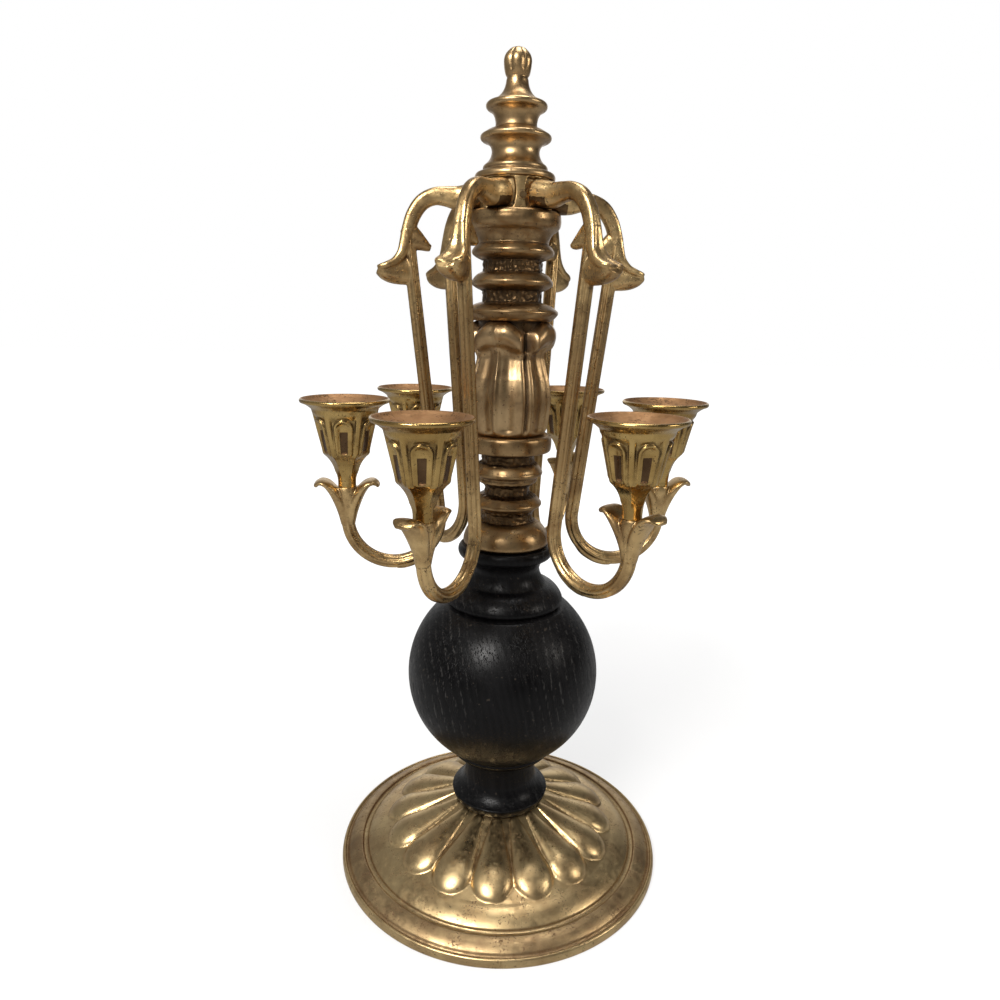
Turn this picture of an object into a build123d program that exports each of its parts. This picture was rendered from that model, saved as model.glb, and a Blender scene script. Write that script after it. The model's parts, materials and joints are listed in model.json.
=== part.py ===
from build123d import *
import math
import os

# Sizes are in millimetres and degrees, and z is measured up from the table

# How far the arc of a face stands out of its chord, or into it where negative
straight = 0.0
slight = 0.3
soft = 0.7
plump = 1.5
deep = 2.3

# Threaded rod, its fastening under the base, and the screws
rod_dia = 8.0
rod_below_nut = 3.0
rod_end_gap = 3.0
running_gap = 0.08
passing_gap = 0.3
nut_across_flats = 13.0
nut_height = 6.5
washer_dia = 24.0
washer_thickness = 1.6
screw_dia = 4.0
screw_gap = 0.1
screw_end_gap = 1.0
screw_head_dia = 7.0
screw_head_height = 2.4
screw_grip = 9.0

# Gadrooned base: rim, bead, channel, plain band, lobed dome and the seat of the wood
base_dia = 192.0
base_wall = 3.2
rim_width = 3.2
rim_edge = 2.7
rim_round = 2.7
bead_width = 9.6
bead_rise = 3.6
channel_width = 4.6
channel_depth = 0.9
band_width = 6.3
band_rise = 2.6
dome_rise = 21.4
seat_dia = 56.0
seat_edge = 2.0
lobe_count = 16
lobe_bearing = -3.2
lobe_outer_size = 12.0
lobe_outer_inset = 11.5
lobe_outer_rise = 5.4
lobe_inner_size = 5.6
lobe_inner_inset = 3.5
lobe_inner_rise = 3.6

# Wood turning, from its foot up
foot_dia = 55.0
foot_tuck = 1.5
foot_rise = 8.5
waist_dia = 41.6
waist_rise = 8.0
fillet_width = 2.4
fillet_rise = 3.5
collar_dia = 62.0
collar_rise = 10.0
collar_edge = 7.4
ball_dia = 111.0
ball_top_dia = 70.8
shoulder_dia = 66.4
shoulder_groove = 2.2
shoulder_groove_rise = 1.0
shoulder_edge = 2.8
cap_dia = 47.2
cap_rise = 8.2
wood_neck_dia = 39.2
wood_neck_rise = 8.1
wood_top_dia = 51.0
wood_top_rise = 7.7
wood_top_edge = 6.5

# Lower column, from its foot up
bell_dia = 48.2
bell_tuck = 1.8
bell_edge = 3.4
bell_rise = 11.1
lower_neck_dia = 29.0
lower_neck_rise = 3.8
small_ring_dia = 37.6
small_ring_edge = 2.6
small_ring_slope = 4.6
thin_neck_dia = 24.8
thin_neck_rise = 3.8
step_ring_dia = 32.6
step_ring_edge = 2.4
step_ring_slope = 2.6
step_rise = 1.6
thick_ring_dia = 47.0
thick_ring_edge = 6.0
thick_ring_tuck = 1.8
thick_ring_slope = 2.2

# Leaf vase, from its foot up
vase_foot_dia = 37.0
vase_foot_rise = 4.5
vase_belly_dia = 45.0
vase_belly_rise = 14.0
vase_taper_rise = 12.3
vase_waist_dia = 38.0
vase_waist_rise = 10.2
vase_neck_flare = 1.0
vase_neck_rise = 7.5
leaf_roll_size = 3.8
leaf_roll_rise = 10.5
leaf_roll_edge = 1.0
leaf_count = 4
leaf_bearing = 24.5
leaf_groove_width = 2.6
leaf_groove_depth = 1.4
leaf_rib_width = 2.0
leaf_rib_height = 0.6
leaf_notch_width = 9.0
leaf_notch_depth = 8.0

# Upper column, from its foot up
large_ring_dia = 48.0
large_ring_tuck = 3.5
large_ring_edge = 2.6
large_ring_slope = 3.0
upper_neck_dia = 31.0
upper_neck_rise = 5.6
upper_ring_dia = 41.6
upper_ring_edge = 3.0
upper_ring_slope = 2.6
upper_ring_fall = 4.0
flange_foot_dia = 36.4
flange_dia = 48.6
flange_rise = 10.4
flange_lip = 0.8
flange_edge = 2.0
flange_seat_dia = 45.0
flange_seat_rise = 3.0

# Hub
hub_dia = 39.0
hub_height = 15.0
hub_wall = 6.0
hub_floor = 3.4
side_screw_bearing = 11.0
side_screw_drop = 1.5
side_screw_dia = 2.0
side_screw_head_dia = 3.2
side_screw_head_height = 1.0

# Arms, in the upright plane of each arm, with drops measured down from the middle of the hub
pair_bearings = (-26.0, 42.0, 97.0)
root_width = 15.4
root_neck_width = 11.0
root_neck_depth = 12.0
root_length = 15.0
root_gap = 0.3
strap_width = 7.4
strap_depth = 9.0
strap_round = 3.2
arch_radius = 16.0
stem_lean = 6.0
stem_top_radius = 53.3
stem_dia = 7.7
reed_count = 6
reed_dia = 2.9
reed_depth = 1.0
loop_drop = 194.3
cup_axis_radius = 88.0
cup_seat_drop = 151.0
cup_seat_dia = 9.6
cup_seat_depth = 8.0

# Leaves on the arms
outer_leaf_reach = 19.2
outer_leaf_drop = 18.0
outer_leaf_keel = 13.5
outer_leaf_width = 13.2
outer_leaf_hollow = 5.0
outer_leaf_nose = 5.5
inner_leaf_reach = 11.0
inner_leaf_drop = 9.5
inner_leaf_keel = 4.0
inner_leaf_width = 6.4
inner_leaf_point = 1.6
petal_reach = 17.2
petal_droop = 1.6
petal_rise = 3.4
petal_crest_reach = 10.6
petal_dip_reach = 5.8
petal_height = 24.0
petal_width = 15.0
petal_hollow = 3.6
petal_nose = 7.0
petal_cheek = 6.0
spur_reach = 3.0
spur_drop = 3.0
spur_width = 5.0
spur_start = 205.0
spur_hollow = 6.5

# Candle cups, from the seat of the cup up
cup_stalk_foot = 2.8
cup_stalk_dia = 12.0
cup_stalk_rise = 5.7
cup_cone_rise = 9.1
cup_shoulder_lip = 1.8
cup_shoulder_rise = 2.4
cup_shoulder_edge = 1.5
cup_wall = 1.65
cup_throat_dia = 35.0
cup_flare = 1.2
cup_flare_rise = 1.8
cup_rim_dia = 47.0
cup_rim_rise = 2.5
cup_rim_edge = 2.2
cup_panel_count = 6
cup_cone_flats = 20.6
cup_cone_foot_flats = 10.6
niche_width = 8.8
niche_foot = 2.5
niche_rise = 10.0
niche_depth = 1.0
slot_width = 4.4
slot_foot = 3.6
slot_rise = 8.4
slot_depth = 1.6
cup_lip = 1.1
dish_edge = 1.7
candle_bore_dia = 22.5
candle_bore_depth = 20.0
head_recess_gap = 0.6

# Finial, from its foot up
finial_foot_dia = 40.4
finial_foot_edge = 3.4
finial_foot_tuck = 0.6
finial_step_dia = 32.2
finial_step_rise = 1.2
finial_step_edge = 2.8
finial_cove_dia = 24.2
finial_cove_rise = 5.6
finial_ring_dia = 33.2
finial_ring_edge = 3.2
finial_neck_dia = 21.4
finial_neck_fall = 2.8
finial_neck_rise = 4.0
finial_top_ring_dia = 28.0
finial_top_ring_rise = 4.4
finial_top_ring_edge = 3.4
finial_stalk_dia = 11.0
finial_stalk_rise = 10.6
finial_stalk_end = 2.0
finial_thread_depth = 14.0
bud_dia = 14.4
bud_height = 14.5
bud_lobe_count = 6
bud_lobe_dia = 8.2


def climb(steps):
    """Turn (radius, rise, bulge) steps into (radius, height, bulge) steps, from the foot up"""
    height = 0.0
    outline = []
    for radius, rise, bulge in steps:
        height += rise
        outline.append((radius, height, bulge))
    return outline


def upright(radius=0.0, height=0.0):
    """The upright plane of an outline, with radius and height measured from the given point"""
    return Plane((radius, 0, height), x_dir=(1, 0, 0), z_dir=(0, -1, 0))


def turned(outline, base_z=0.0):
    """A turned solid from a closed outline of (radius, height, bulge) steps"""
    with BuildPart() as piece:
        with BuildSketch(upright(height=base_z)):
            with BuildLine():
                for start, end in zip(outline, outline[1:] + outline[:1]):
                    if end[2]:
                        SagittaArc(start[:2], end[:2], -end[2])
                    else:
                        Line(start[:2], end[:2])
            make_face()
        revolve(axis=Axis.Z)
    return piece.part


def bored(outline, bore_radius):
    """Close an outline that runs up the outside of a piece with a round hole on the axis"""
    foot = (bore_radius, outline[0][1], straight)
    head = (bore_radius, outline[-1][1], straight)
    return [foot, *outline, head]


def pin(radius, start, length):
    """A round bar on the x axis of the hub's middle, from the given distance outward"""
    with BuildPart() as bar:
        with BuildSketch(Plane.YZ.offset(start)):
            with Locations((0, arch_z)):
                Circle(radius)
        extrude(amount=length)
    return bar.part


def upright_pin(radius, start_z, length):
    """A round bar on the axis of the cup, from the given height upward"""
    with BuildPart() as bar:
        with BuildSketch(Plane.XY.offset(start_z)):
            with Locations((cup_axis_radius, 0)):
                Circle(radius)
        extrude(amount=length)
    return bar.part


def save(piece, name):
    """Label a finished piece and write it under its name"""
    piece.label = name
    export_step(piece, f"parts/{name}.step")


# Radii that follow from the sizes
rod_radius = rod_dia / 2
passing_radius = rod_radius + passing_gap
running_radius = rod_radius + running_gap
screw_radius = screw_dia / 2
screw_hole_radius = screw_radius + screw_gap
rim_radius = base_dia / 2
bead_radius = rim_radius - rim_width
channel_radius = bead_radius - bead_width
edge_radius = channel_radius - channel_width
dome_radius = edge_radius - band_width
seat_radius = seat_dia / 2
hub_radius = hub_dia / 2
hub_inner_radius = hub_radius - hub_wall
bore_radius = candle_bore_dia / 2
stem_radius = stem_dia / 2

# Outline of the base, up the outside from the middle of the table face
base_outline = climb([
    (0, 0, straight),
    (rim_radius, 0, straight),
    (rim_radius, rim_edge, straight),
    (bead_radius, rim_round, soft),
    (channel_radius, bead_rise, plump),
    (edge_radius, 0, -channel_depth),
    (dome_radius, band_rise, slight),
    (seat_radius + seat_edge, dome_rise, straight),
    (seat_radius, seat_edge, straight),
    (0, 0, straight),
])
bead_top = base_outline[4][1]
dome_foot = base_outline[6][1]
dome_top = base_outline[7][1]
base_height = base_outline[-1][1]

# Outline of the wood: foot, waist, collar, ball, stepped shoulder, neck and top rim
ball_radius = ball_dia / 2
collar_radius = collar_dia / 2
ball_below = math.sqrt(ball_radius**2 - collar_radius**2)
ball_above = math.sqrt(ball_radius**2 - (ball_top_dia / 2) ** 2)
ball_middle = ((collar_radius + ball_top_dia / 2) / 2, (ball_above - ball_below) / 2)
wood_outline = climb([
    (foot_dia / 2 - foot_tuck, 0, straight),
    (foot_dia / 2, foot_rise, deep),
    (waist_dia / 2, waist_rise, -plump),
    (waist_dia / 2 + fillet_width, fillet_rise, -soft),
    (collar_radius, collar_rise, plump),
    (collar_radius, collar_edge, straight),
    (ball_top_dia / 2, ball_below + ball_above, ball_radius - math.hypot(*ball_middle)),
    (shoulder_dia / 2 - shoulder_groove, shoulder_groove_rise, straight),
    (shoulder_dia / 2, shoulder_groove_rise, straight),
    (shoulder_dia / 2, shoulder_edge, slight),
    (cap_dia / 2, cap_rise, plump),
    (wood_neck_dia / 2, wood_neck_rise, -soft),
    (wood_top_dia / 2, wood_top_rise, -plump),
    (wood_top_dia / 2, wood_top_edge, plump),
])

# Outline of the lower column: bell, small ring, stepped ring and the thick ring under the vase
lower_neck = lower_neck_dia / 2
small_ring = small_ring_dia / 2
thin_neck = thin_neck_dia / 2
thick_ring = thick_ring_dia / 2
lower_outline = climb([
    (bell_dia / 2 - bell_tuck, 0, straight),
    (bell_dia / 2, bell_edge, soft),
    (lower_neck, bell_rise, deep),
    (lower_neck, lower_neck_rise, straight),
    (small_ring, small_ring_slope, -soft),
    (small_ring, small_ring_edge, soft),
    (thin_neck, small_ring_slope, soft),
    (thin_neck, thin_neck_rise, straight),
    (step_ring_dia / 2, step_ring_slope, -slight),
    (step_ring_dia / 2, step_ring_edge, slight),
    (small_ring, step_rise, -slight),
    (small_ring, small_ring_edge, soft),
    (lower_neck, small_ring_slope, soft),
    (lower_neck, lower_neck_rise, straight),
    (thick_ring - thick_ring_tuck, thick_ring_slope, -slight),
    (thick_ring, thick_ring_tuck, soft),
    (thick_ring, thick_ring_edge, slight),
    (thick_ring - plump, plump, slight),
])

# Outline of the vase: swelling body, waist and the rolled tops of the leaves
belly = vase_belly_dia / 2
waist = vase_waist_dia / 2
neck_top = waist + vase_neck_flare
vase_outline = climb([
    (vase_foot_dia / 2, 0, straight),
    (belly - soft, vase_foot_rise, soft),
    (belly, vase_belly_rise, slight),
    ((belly + waist) / 2, vase_taper_rise, slight),
    (waist, vase_waist_rise, -slight),
    (neck_top, vase_neck_rise, -slight),
    (neck_top + soft, leaf_roll_rise, leaf_roll_size),
    (waist, leaf_roll_edge, straight),
])

# Outline of the upper column: three rings on necks, and the flange that the hub turns on
upper_neck = upper_neck_dia / 2
upper_ring = upper_ring_dia / 2
flange = flange_dia / 2
upper_outline = climb([
    (large_ring_dia / 2 - large_ring_tuck, 0, straight),
    (large_ring_dia / 2, large_ring_slope, slight),
    (large_ring_dia / 2, large_ring_edge, soft),
    (upper_neck, upper_ring_fall, soft),
    (upper_neck, upper_neck_rise, straight),
    (upper_ring, upper_ring_slope, slight),
    (upper_ring, upper_ring_edge, soft),
    (upper_neck, upper_ring_fall, soft),
    (upper_neck, upper_neck_rise, straight),
    (upper_ring, upper_ring_slope, slight),
    (upper_ring, upper_ring_edge, soft),
    (flange_foot_dia / 2, upper_ring_slope, slight),
    (flange - flange_lip, flange_rise, -plump),
    (flange, flange_edge, slight),
    (flange_seat_dia / 2, flange_seat_rise, soft),
])

# Heights that follow from the outlines, from the table to the tip
wood_z = base_height
lower_column_z = wood_z + wood_outline[-1][1]
vase_z = lower_column_z + lower_outline[-1][1]
upper_column_z = vase_z + vase_outline[-1][1]
hub_z = upper_column_z + upper_outline[-1][1]
arch_z = hub_z + hub_height / 2
finial_z = hub_z + hub_height
loop_bottom = arch_z - loop_drop
cup_seat_z = arch_z - cup_seat_drop
washer_top = base_height - base_wall
rod_bottom = washer_top - washer_thickness - nut_height - rod_below_nut
rod_top = finial_z + finial_thread_depth - rod_end_gap
arm_bearings = [bearing + turn for turn in (0.0, 180.0) for bearing in pair_bearings]
arm_turns = [bearing - 90 for bearing in arm_bearings]

os.makedirs("parts", exist_ok=True)

# Base: the stepped outline hollowed from below, with teardrop lobes raised round the dome
hollow_radius = rim_radius - rim_width - base_wall
hollow_outline = [
    (0, -base_height, straight),
    (hollow_radius, -base_height, straight),
    (hollow_radius, rim_edge + rim_round - base_wall, straight),
    (edge_radius, bead_top - channel_depth - base_wall, straight),
    (dome_radius, dome_foot - base_wall, straight),
    (seat_radius, dome_top - base_wall, straight),
    (seat_radius, washer_top, straight),
    (0, washer_top, straight),
]
slope = math.atan2(dome_rise, dome_radius - seat_radius - seat_edge)


def lobe_centre(radius, size, rise):
    """Centre of a ball of the given size that stands the given rise out of the dome"""
    height = dome_foot + (dome_radius - radius) * math.tan(slope)
    sink = size - rise
    return radius - sink * math.sin(slope), height - sink * math.cos(slope)


outer_centre = lobe_centre(dome_radius - lobe_outer_inset, lobe_outer_size, lobe_outer_rise)
inner_centre = lobe_centre(seat_radius + lobe_inner_inset, lobe_inner_size, lobe_inner_rise)
lobe_length = math.dist(outer_centre, inner_centre)
lobe_axis = Vector(inner_centre[0] - outer_centre[0], 0, inner_centre[1] - outer_centre[1])
lobe_plane = Plane((outer_centre[0], 0, outer_centre[1]), x_dir=lobe_axis, z_dir=(0, -1, 0))
with BuildPart() as lobe:
    with BuildSketch(lobe_plane):
        with BuildLine():
            CenterArc((0, 0), lobe_outer_size, 0, 360)
            CenterArc((lobe_length, 0), lobe_inner_size, 0, 360)
        make_hull()
        with Locations((lobe_length / 2, lobe_outer_size)):
            Rectangle(lobe_length + 4 * lobe_outer_size, 2 * lobe_outer_size, mode=Mode.INTERSECT)
    revolve(axis=Axis(lobe_plane.origin, lobe_axis))
    add(turned(hollow_outline), mode=Mode.SUBTRACT)
    with BuildSketch(Plane.XY.offset(base_height)):
        Circle(seat_radius)
    extrude(amount=lobe_outer_size, mode=Mode.SUBTRACT)
with BuildPart() as base_shell:
    add(turned(base_outline))
    add(turned(hollow_outline), mode=Mode.SUBTRACT)
    lobe_turns = [lobe_bearing - 90 + number * 360 / lobe_count for number in range(lobe_count)]
    add([lobe.part.rotate(Axis.Z, turn) for turn in lobe_turns])
    Cylinder(passing_radius, 4 * base_height, mode=Mode.SUBTRACT)
save(base_shell.part, "base_shell")

with BuildPart() as base_washer:
    with BuildSketch(Plane.XY.offset(washer_top)):
        Circle(washer_dia / 2)
        Circle(passing_radius, mode=Mode.SUBTRACT)
    extrude(amount=-washer_thickness)
save(base_washer.part, "base_washer")

with BuildPart() as base_nut:
    with BuildSketch(Plane.XY.offset(washer_top - washer_thickness)):
        RegularPolygon(nut_across_flats / 2, 6, major_radius=False)
        Circle(running_radius, mode=Mode.SUBTRACT)
    extrude(amount=-nut_height)
save(base_nut.part, "base_nut")

with BuildPart() as tie_rod:
    with BuildSketch(Plane.XY.offset(rod_bottom)):
        Circle(rod_radius)
    extrude(amount=rod_top - rod_bottom)
save(tie_rod.part, "tie_rod")

with BuildPart() as wood_baluster:
    add(turned(bored(wood_outline, passing_radius), wood_z))
save(wood_baluster.part, "wood_baluster")

with BuildPart() as lower_column:
    add(turned(bored(lower_outline, passing_radius), lower_column_z))
save(lower_column.part, "lower_column")

# Leaf vase: the turned body parted into ribbed leaves by grooves, with notches between their tops
leaf_edge = [(radius - leaf_groove_depth, height, bulge) for radius, height, bulge in vase_outline[1:6]]
with BuildPart() as groove_cutter:
    with BuildSketch(upright(height=vase_z)):
        with BuildLine():
            for start, end in zip(leaf_edge, leaf_edge[1:]):
                SagittaArc(start[:2], end[:2], -end[2])
            outside = [(vase_belly_dia, leaf_edge[-1][1]), (vase_belly_dia, leaf_edge[0][1])]
            Polyline(leaf_edge[-1][:2], *outside, leaf_edge[0][:2])
        make_face()
    extrude(amount=leaf_groove_width / 2, both=True)
notch_plane = Plane((0, 0, upper_column_z), x_dir=(0, 1, 0), z_dir=(1, 0, 0))
with BuildPart() as notch_cutter:
    with BuildSketch(notch_plane):
        with BuildLine():
            Line((-leaf_notch_width / 2, 0), (leaf_notch_width / 2, 0))
            SagittaArc((leaf_notch_width / 2, 0), (0, -leaf_notch_depth), plump)
            SagittaArc((0, -leaf_notch_depth), (-leaf_notch_width / 2, 0), plump)
        make_face()
    extrude(amount=vase_belly_dia)
    Cylinder(waist, 2 * upper_column_z, mode=Mode.SUBTRACT)
rib_edge = [(radius + leaf_rib_height, height, bulge) for radius, height, bulge in vase_outline[1:6]]
with BuildPart() as midrib:
    with BuildSketch(upright(height=vase_z)):
        with BuildLine():
            for start, end in zip(rib_edge, rib_edge[1:]):
                SagittaArc(start[:2], end[:2], -end[2])
            Polyline(rib_edge[-1][:2], (rod_dia, rib_edge[-1][1]), (rod_dia, rib_edge[0][1]), rib_edge[0][:2])
        make_face()
    extrude(amount=leaf_rib_width / 2, both=True)
with BuildPart() as leaf_vase:
    add(turned(bored(vase_outline, passing_radius), vase_z))
    for number in range(leaf_count):
        turn = leaf_bearing - 90 + number * 360 / leaf_count
        add(midrib.part.rotate(Axis.Z, turn + 180 / leaf_count))
        add(groove_cutter.part.rotate(Axis.Z, turn), mode=Mode.SUBTRACT)
        add(notch_cutter.part.rotate(Axis.Z, turn), mode=Mode.SUBTRACT)
save(leaf_vase.part, "leaf_vase")

with BuildPart() as upper_column:
    add(turned(bored(upper_outline, passing_radius), upper_column_z))
save(upper_column.part, "upper_column")

# Hub: a round cup with its open side up under the finial, bored for one screw to each arm
hub_outline = [
    (running_radius, 0, straight),
    (hub_radius, 0, straight),
    (hub_radius, hub_height, straight),
    (hub_inner_radius, hub_height, straight),
    (hub_inner_radius, hub_floor, straight),
    (running_radius, hub_floor, straight),
]
head_start = hub_inner_radius - screw_head_height
with BuildPart() as arm_screw:
    add(pin(screw_head_dia / 2, head_start, screw_head_height))
    add(pin(screw_radius, hub_inner_radius, hub_wall + screw_grip))
with BuildPart() as arm_screw_hole:
    add(pin(screw_head_dia / 2 + screw_gap, head_start, screw_head_height))
    add(pin(screw_hole_radius, hub_inner_radius, hub_wall + screw_grip + screw_end_gap))
side_screw_start = hub_radius - hub_wall / 2
with BuildPart() as hub_side_screw:
    add(pin(side_screw_dia / 2, side_screw_start, hub_wall / 2))
    add(pin(side_screw_head_dia / 2, hub_radius, side_screw_head_height))
with BuildPart() as side_screw_hole:
    add(pin(side_screw_dia / 2 + screw_gap, side_screw_start, hub_wall))
side_screw_place = Location((0, 0, -side_screw_drop), (0, 0, side_screw_bearing - 90))
with BuildPart() as arm_hub:
    add(turned(hub_outline, hub_z))
    for turn in arm_turns:
        add(arm_screw_hole.part.rotate(Axis.Z, turn), mode=Mode.SUBTRACT)
    add(side_screw_hole.part.moved(side_screw_place), mode=Mode.SUBTRACT)
save(arm_hub.part, "arm_hub")
save(hub_side_screw.part.moved(side_screw_place), "hub_side_screw")
save(Compound([arm_screw.part.solid().rotate(Axis.Z, turn) for turn in arm_turns]), "arm_screws")

# Lines of the arm: out of the hub, over the arch, down the leaning stem, round the loop to the cup
lean_cos = math.cos(math.radians(stem_lean))
lean_sin = math.sin(math.radians(stem_lean))
arch_start = stem_top_radius - arch_radius * lean_cos
stem_top = Vector(stem_top_radius, 0, arch_z - arch_radius * (1 + lean_sin))
stem_heading = Vector(-lean_sin, 0, -lean_cos)
reach = cup_axis_radius - stem_top_radius
loop_share = (1 + lean_sin) / (1 + lean_cos)
stem_length = (stem_top.Z - loop_bottom - loop_share * reach) / (lean_cos + loop_share * lean_sin)
loop_radius = (reach + stem_length * lean_sin) / (1 + lean_cos)
stem_end = stem_top + stem_heading * stem_length
loop_centre = stem_end + Vector(lean_cos, 0, -lean_sin) * loop_radius
leaf_joint = stem_top + stem_heading * outer_leaf_drop
cup_point = Vector(cup_axis_radius, 0, cup_seat_z)
leaf_length = 2 * cup_axis_radius

# Outer leaf: the strap flares into a lip that turns outward, on a keel that runs in to the stem
crown = (stem_top.X + strap_depth / 2, stem_top.Z)
lip = (leaf_joint.X + outer_leaf_reach, leaf_joint.Z)
keel = (leaf_joint.X + stem_radius, leaf_joint.Z - outer_leaf_keel)
nose = lip[0] - outer_leaf_nose
with BuildPart() as outer_leaf:
    with BuildSketch(Plane.XZ):
        with BuildLine():
            SagittaArc(crown, lip, -outer_leaf_hollow)
            SagittaArc(lip, keel, deep)
            Polyline(keel, (leaf_joint.X, keel[1]), (stem_top.X, stem_top.Z), crown)
        make_face()
    extrude(amount=outer_leaf_width, both=True)
    with BuildSketch(Plane.YZ):
        with BuildLine():
            SagittaArc((strap_width / 2, stem_top.Z), (outer_leaf_width / 2, lip[1]), -soft)
            SagittaArc((outer_leaf_width / 2, lip[1]), (stem_radius, keel[1]), soft)
            Polyline((stem_radius, keel[1]), (0, keel[1]), (0, stem_top.Z), (strap_width / 2, stem_top.Z))
        make_face()
        mirror(about=Plane.YZ)
    extrude(amount=leaf_length, mode=Mode.INTERSECT)
    with BuildSketch(Plane.XY):
        with BuildLine():
            SagittaArc((lip[0], 0), (nose, outer_leaf_width / 2), -deep)
            Polyline((nose, outer_leaf_width / 2), (0, outer_leaf_width / 2), (0, 0), (lip[0], 0))
        make_face()
        mirror(about=Plane.XZ)
    extrude(amount=finial_z, mode=Mode.INTERSECT)

# Inner leaf: a short pointed leaf on the inside of the stem, under the arch
thorn = (leaf_joint.X - inner_leaf_reach, stem_top.Z - inner_leaf_drop)
thorn_low = (leaf_joint.X, thorn[1] - inner_leaf_keel)
with BuildPart() as inner_leaf:
    with BuildSketch(Plane.XZ):
        with BuildLine():
            SagittaArc((stem_top.X - strap_depth / 2, stem_top.Z), thorn, plump)
            SagittaArc(thorn, thorn_low, plump)
            Polyline(thorn_low, (stem_top.X, stem_top.Z), (stem_top.X - strap_depth / 2, stem_top.Z))
        make_face()
    extrude(amount=inner_leaf_width, both=True)
    with BuildSketch(Plane.XY):
        with BuildLine():
            SagittaArc((thorn[0], inner_leaf_point / 2), (leaf_joint.X, inner_leaf_width / 2), soft)
            Polyline((leaf_joint.X, inner_leaf_width / 2), (stem_top.X, 0), (thorn[0], 0),
                     (thorn[0], inner_leaf_point / 2))
        make_face()
        mirror(about=Plane.XZ)
    extrude(amount=finial_z, mode=Mode.INTERSECT)

# Petal: one of the two leaves that hold the cup, flaring from the stem to a drooping tip
beak = (cup_point.X + petal_reach, cup_point.Z - petal_droop)
petal_foot = (cup_point.X + stem_radius - soft, cup_point.Z - petal_height)
petal_crest = (cup_point.X + petal_crest_reach, cup_point.Z + petal_rise)
petal_dip = (cup_point.X + petal_dip_reach, cup_point.Z - petal_droop)
cheek_z = cup_point.Z - petal_cheek
petal_full = cup_point.X + petal_reach - petal_nose
with BuildPart() as petal:
    with BuildSketch(Plane.XZ):
        with BuildLine():
            SagittaArc(petal_foot, beak, petal_hollow)
            SagittaArc(beak, petal_crest, -plump)
            SagittaArc(petal_crest, petal_dip, soft)
            Polyline(petal_dip, (cup_point.X, petal_dip[1]), (cup_point.X, petal_foot[1]), petal_foot)
        make_face()
    extrude(amount=petal_width, both=True)
    with BuildSketch(Plane.YZ):
        with BuildLine():
            SagittaArc((stem_radius - soft, petal_foot[1]), (petal_width / 2, cheek_z), plump)
            Polyline((petal_width / 2, cheek_z), (petal_width / 2, petal_crest[1]), (0, petal_crest[1]),
                     (0, petal_foot[1]), (stem_radius - soft, petal_foot[1]))
        make_face()
        mirror(about=Plane.YZ)
    extrude(amount=leaf_length, mode=Mode.INTERSECT)
    with BuildSketch(Plane.XY):
        with BuildLine():
            SagittaArc((beak[0], 0), (petal_full, petal_width / 2), -plump)
            Polyline((petal_full, petal_width / 2), (0, petal_width / 2), (0, 0), (beak[0], 0))
        make_face()
        mirror(about=Plane.XZ)
    extrude(amount=finial_z, mode=Mode.INTERSECT)

# Spur: a slim leaf along the outside of the loop, with its tip standing off below
spur_root = loop_radius + stem_radius - soft
spur_turn = math.radians(spur_start)
spur_heel = (loop_centre.X + spur_root * math.cos(spur_turn), loop_centre.Z + spur_root * math.sin(spur_turn))
spur_tip = (loop_centre.X + spur_reach, loop_centre.Z - spur_root - spur_drop)
with BuildPart() as spur:
    with BuildSketch(Plane.XZ):
        with BuildLine():
            SagittaArc(spur_heel, spur_tip, -deep)
            SagittaArc(spur_tip, spur_heel, spur_hollow)
        make_face()
    extrude(amount=spur_width / 2, both=True)

# Arm: one casting of root, strap, reeded stem and leaves, cut to the hub and drilled at both ends
with BuildPart() as arm_casting:
    for place, width, depth in (
        (hub_inner_radius, root_width, hub_height - 2 * root_gap),
        (hub_radius + root_length / 3, root_neck_width, root_neck_depth),
        (hub_radius + root_length, strap_width, strap_depth),
    ):
        with BuildSketch(Plane.YZ.offset(place)):
            with Locations((0, arch_z)):
                RectangleRounded(width, depth, strap_round)
    loft()
    with BuildLine(Plane.XZ) as strap_path:
        run = Line((hub_radius, arch_z), (arch_start, arch_z))
        arch = JernArc(run @ 1, run % 1, arch_radius, -90 - stem_lean)
        Line(arch @ 1, leaf_joint)
    with BuildSketch(Plane(strap_path.line @ 0, x_dir=(0, 1, 0), z_dir=(1, 0, 0))):
        RectangleRounded(strap_width, strap_depth, strap_round)
    sweep(path=strap_path.line)
    with BuildLine(Plane.XZ) as stem_path:
        drop = Line(stem_top, stem_end)
        loop = JernArc(drop @ 1, drop % 1, loop_radius, 180 + stem_lean)
        Line(loop @ 1, cup_point)
    with BuildSketch(Plane(stem_top, x_dir=(0, 1, 0), z_dir=stem_heading)):
        Circle(stem_radius - reed_depth)
        with PolarLocations(stem_radius - reed_dia / 2, reed_count):
            Circle(reed_dia / 2)
    sweep(path=stem_path.line)
    add(upright_pin(cup_seat_dia / 2, cup_seat_z - cup_seat_depth, cup_seat_depth))
    add(outer_leaf.part)
    add(inner_leaf.part)
    add(spur.part)
    add(petal.part)
    add(petal.part.mirror(Plane.YZ.offset(cup_axis_radius)))
    Cylinder(hub_radius, 2 * finial_z, mode=Mode.SUBTRACT)
    add(arm_screw_hole.part, mode=Mode.SUBTRACT)
    cup_hole_z = cup_seat_z - screw_grip - screw_end_gap
    add(upright_pin(screw_hole_radius, cup_hole_z, screw_grip + screw_end_gap), mode=Mode.SUBTRACT)
for number, turn in enumerate(arm_turns, 1):
    save(arm_casting.part.rotate(Axis.Z, turn), f"arm_{number}")

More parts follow.
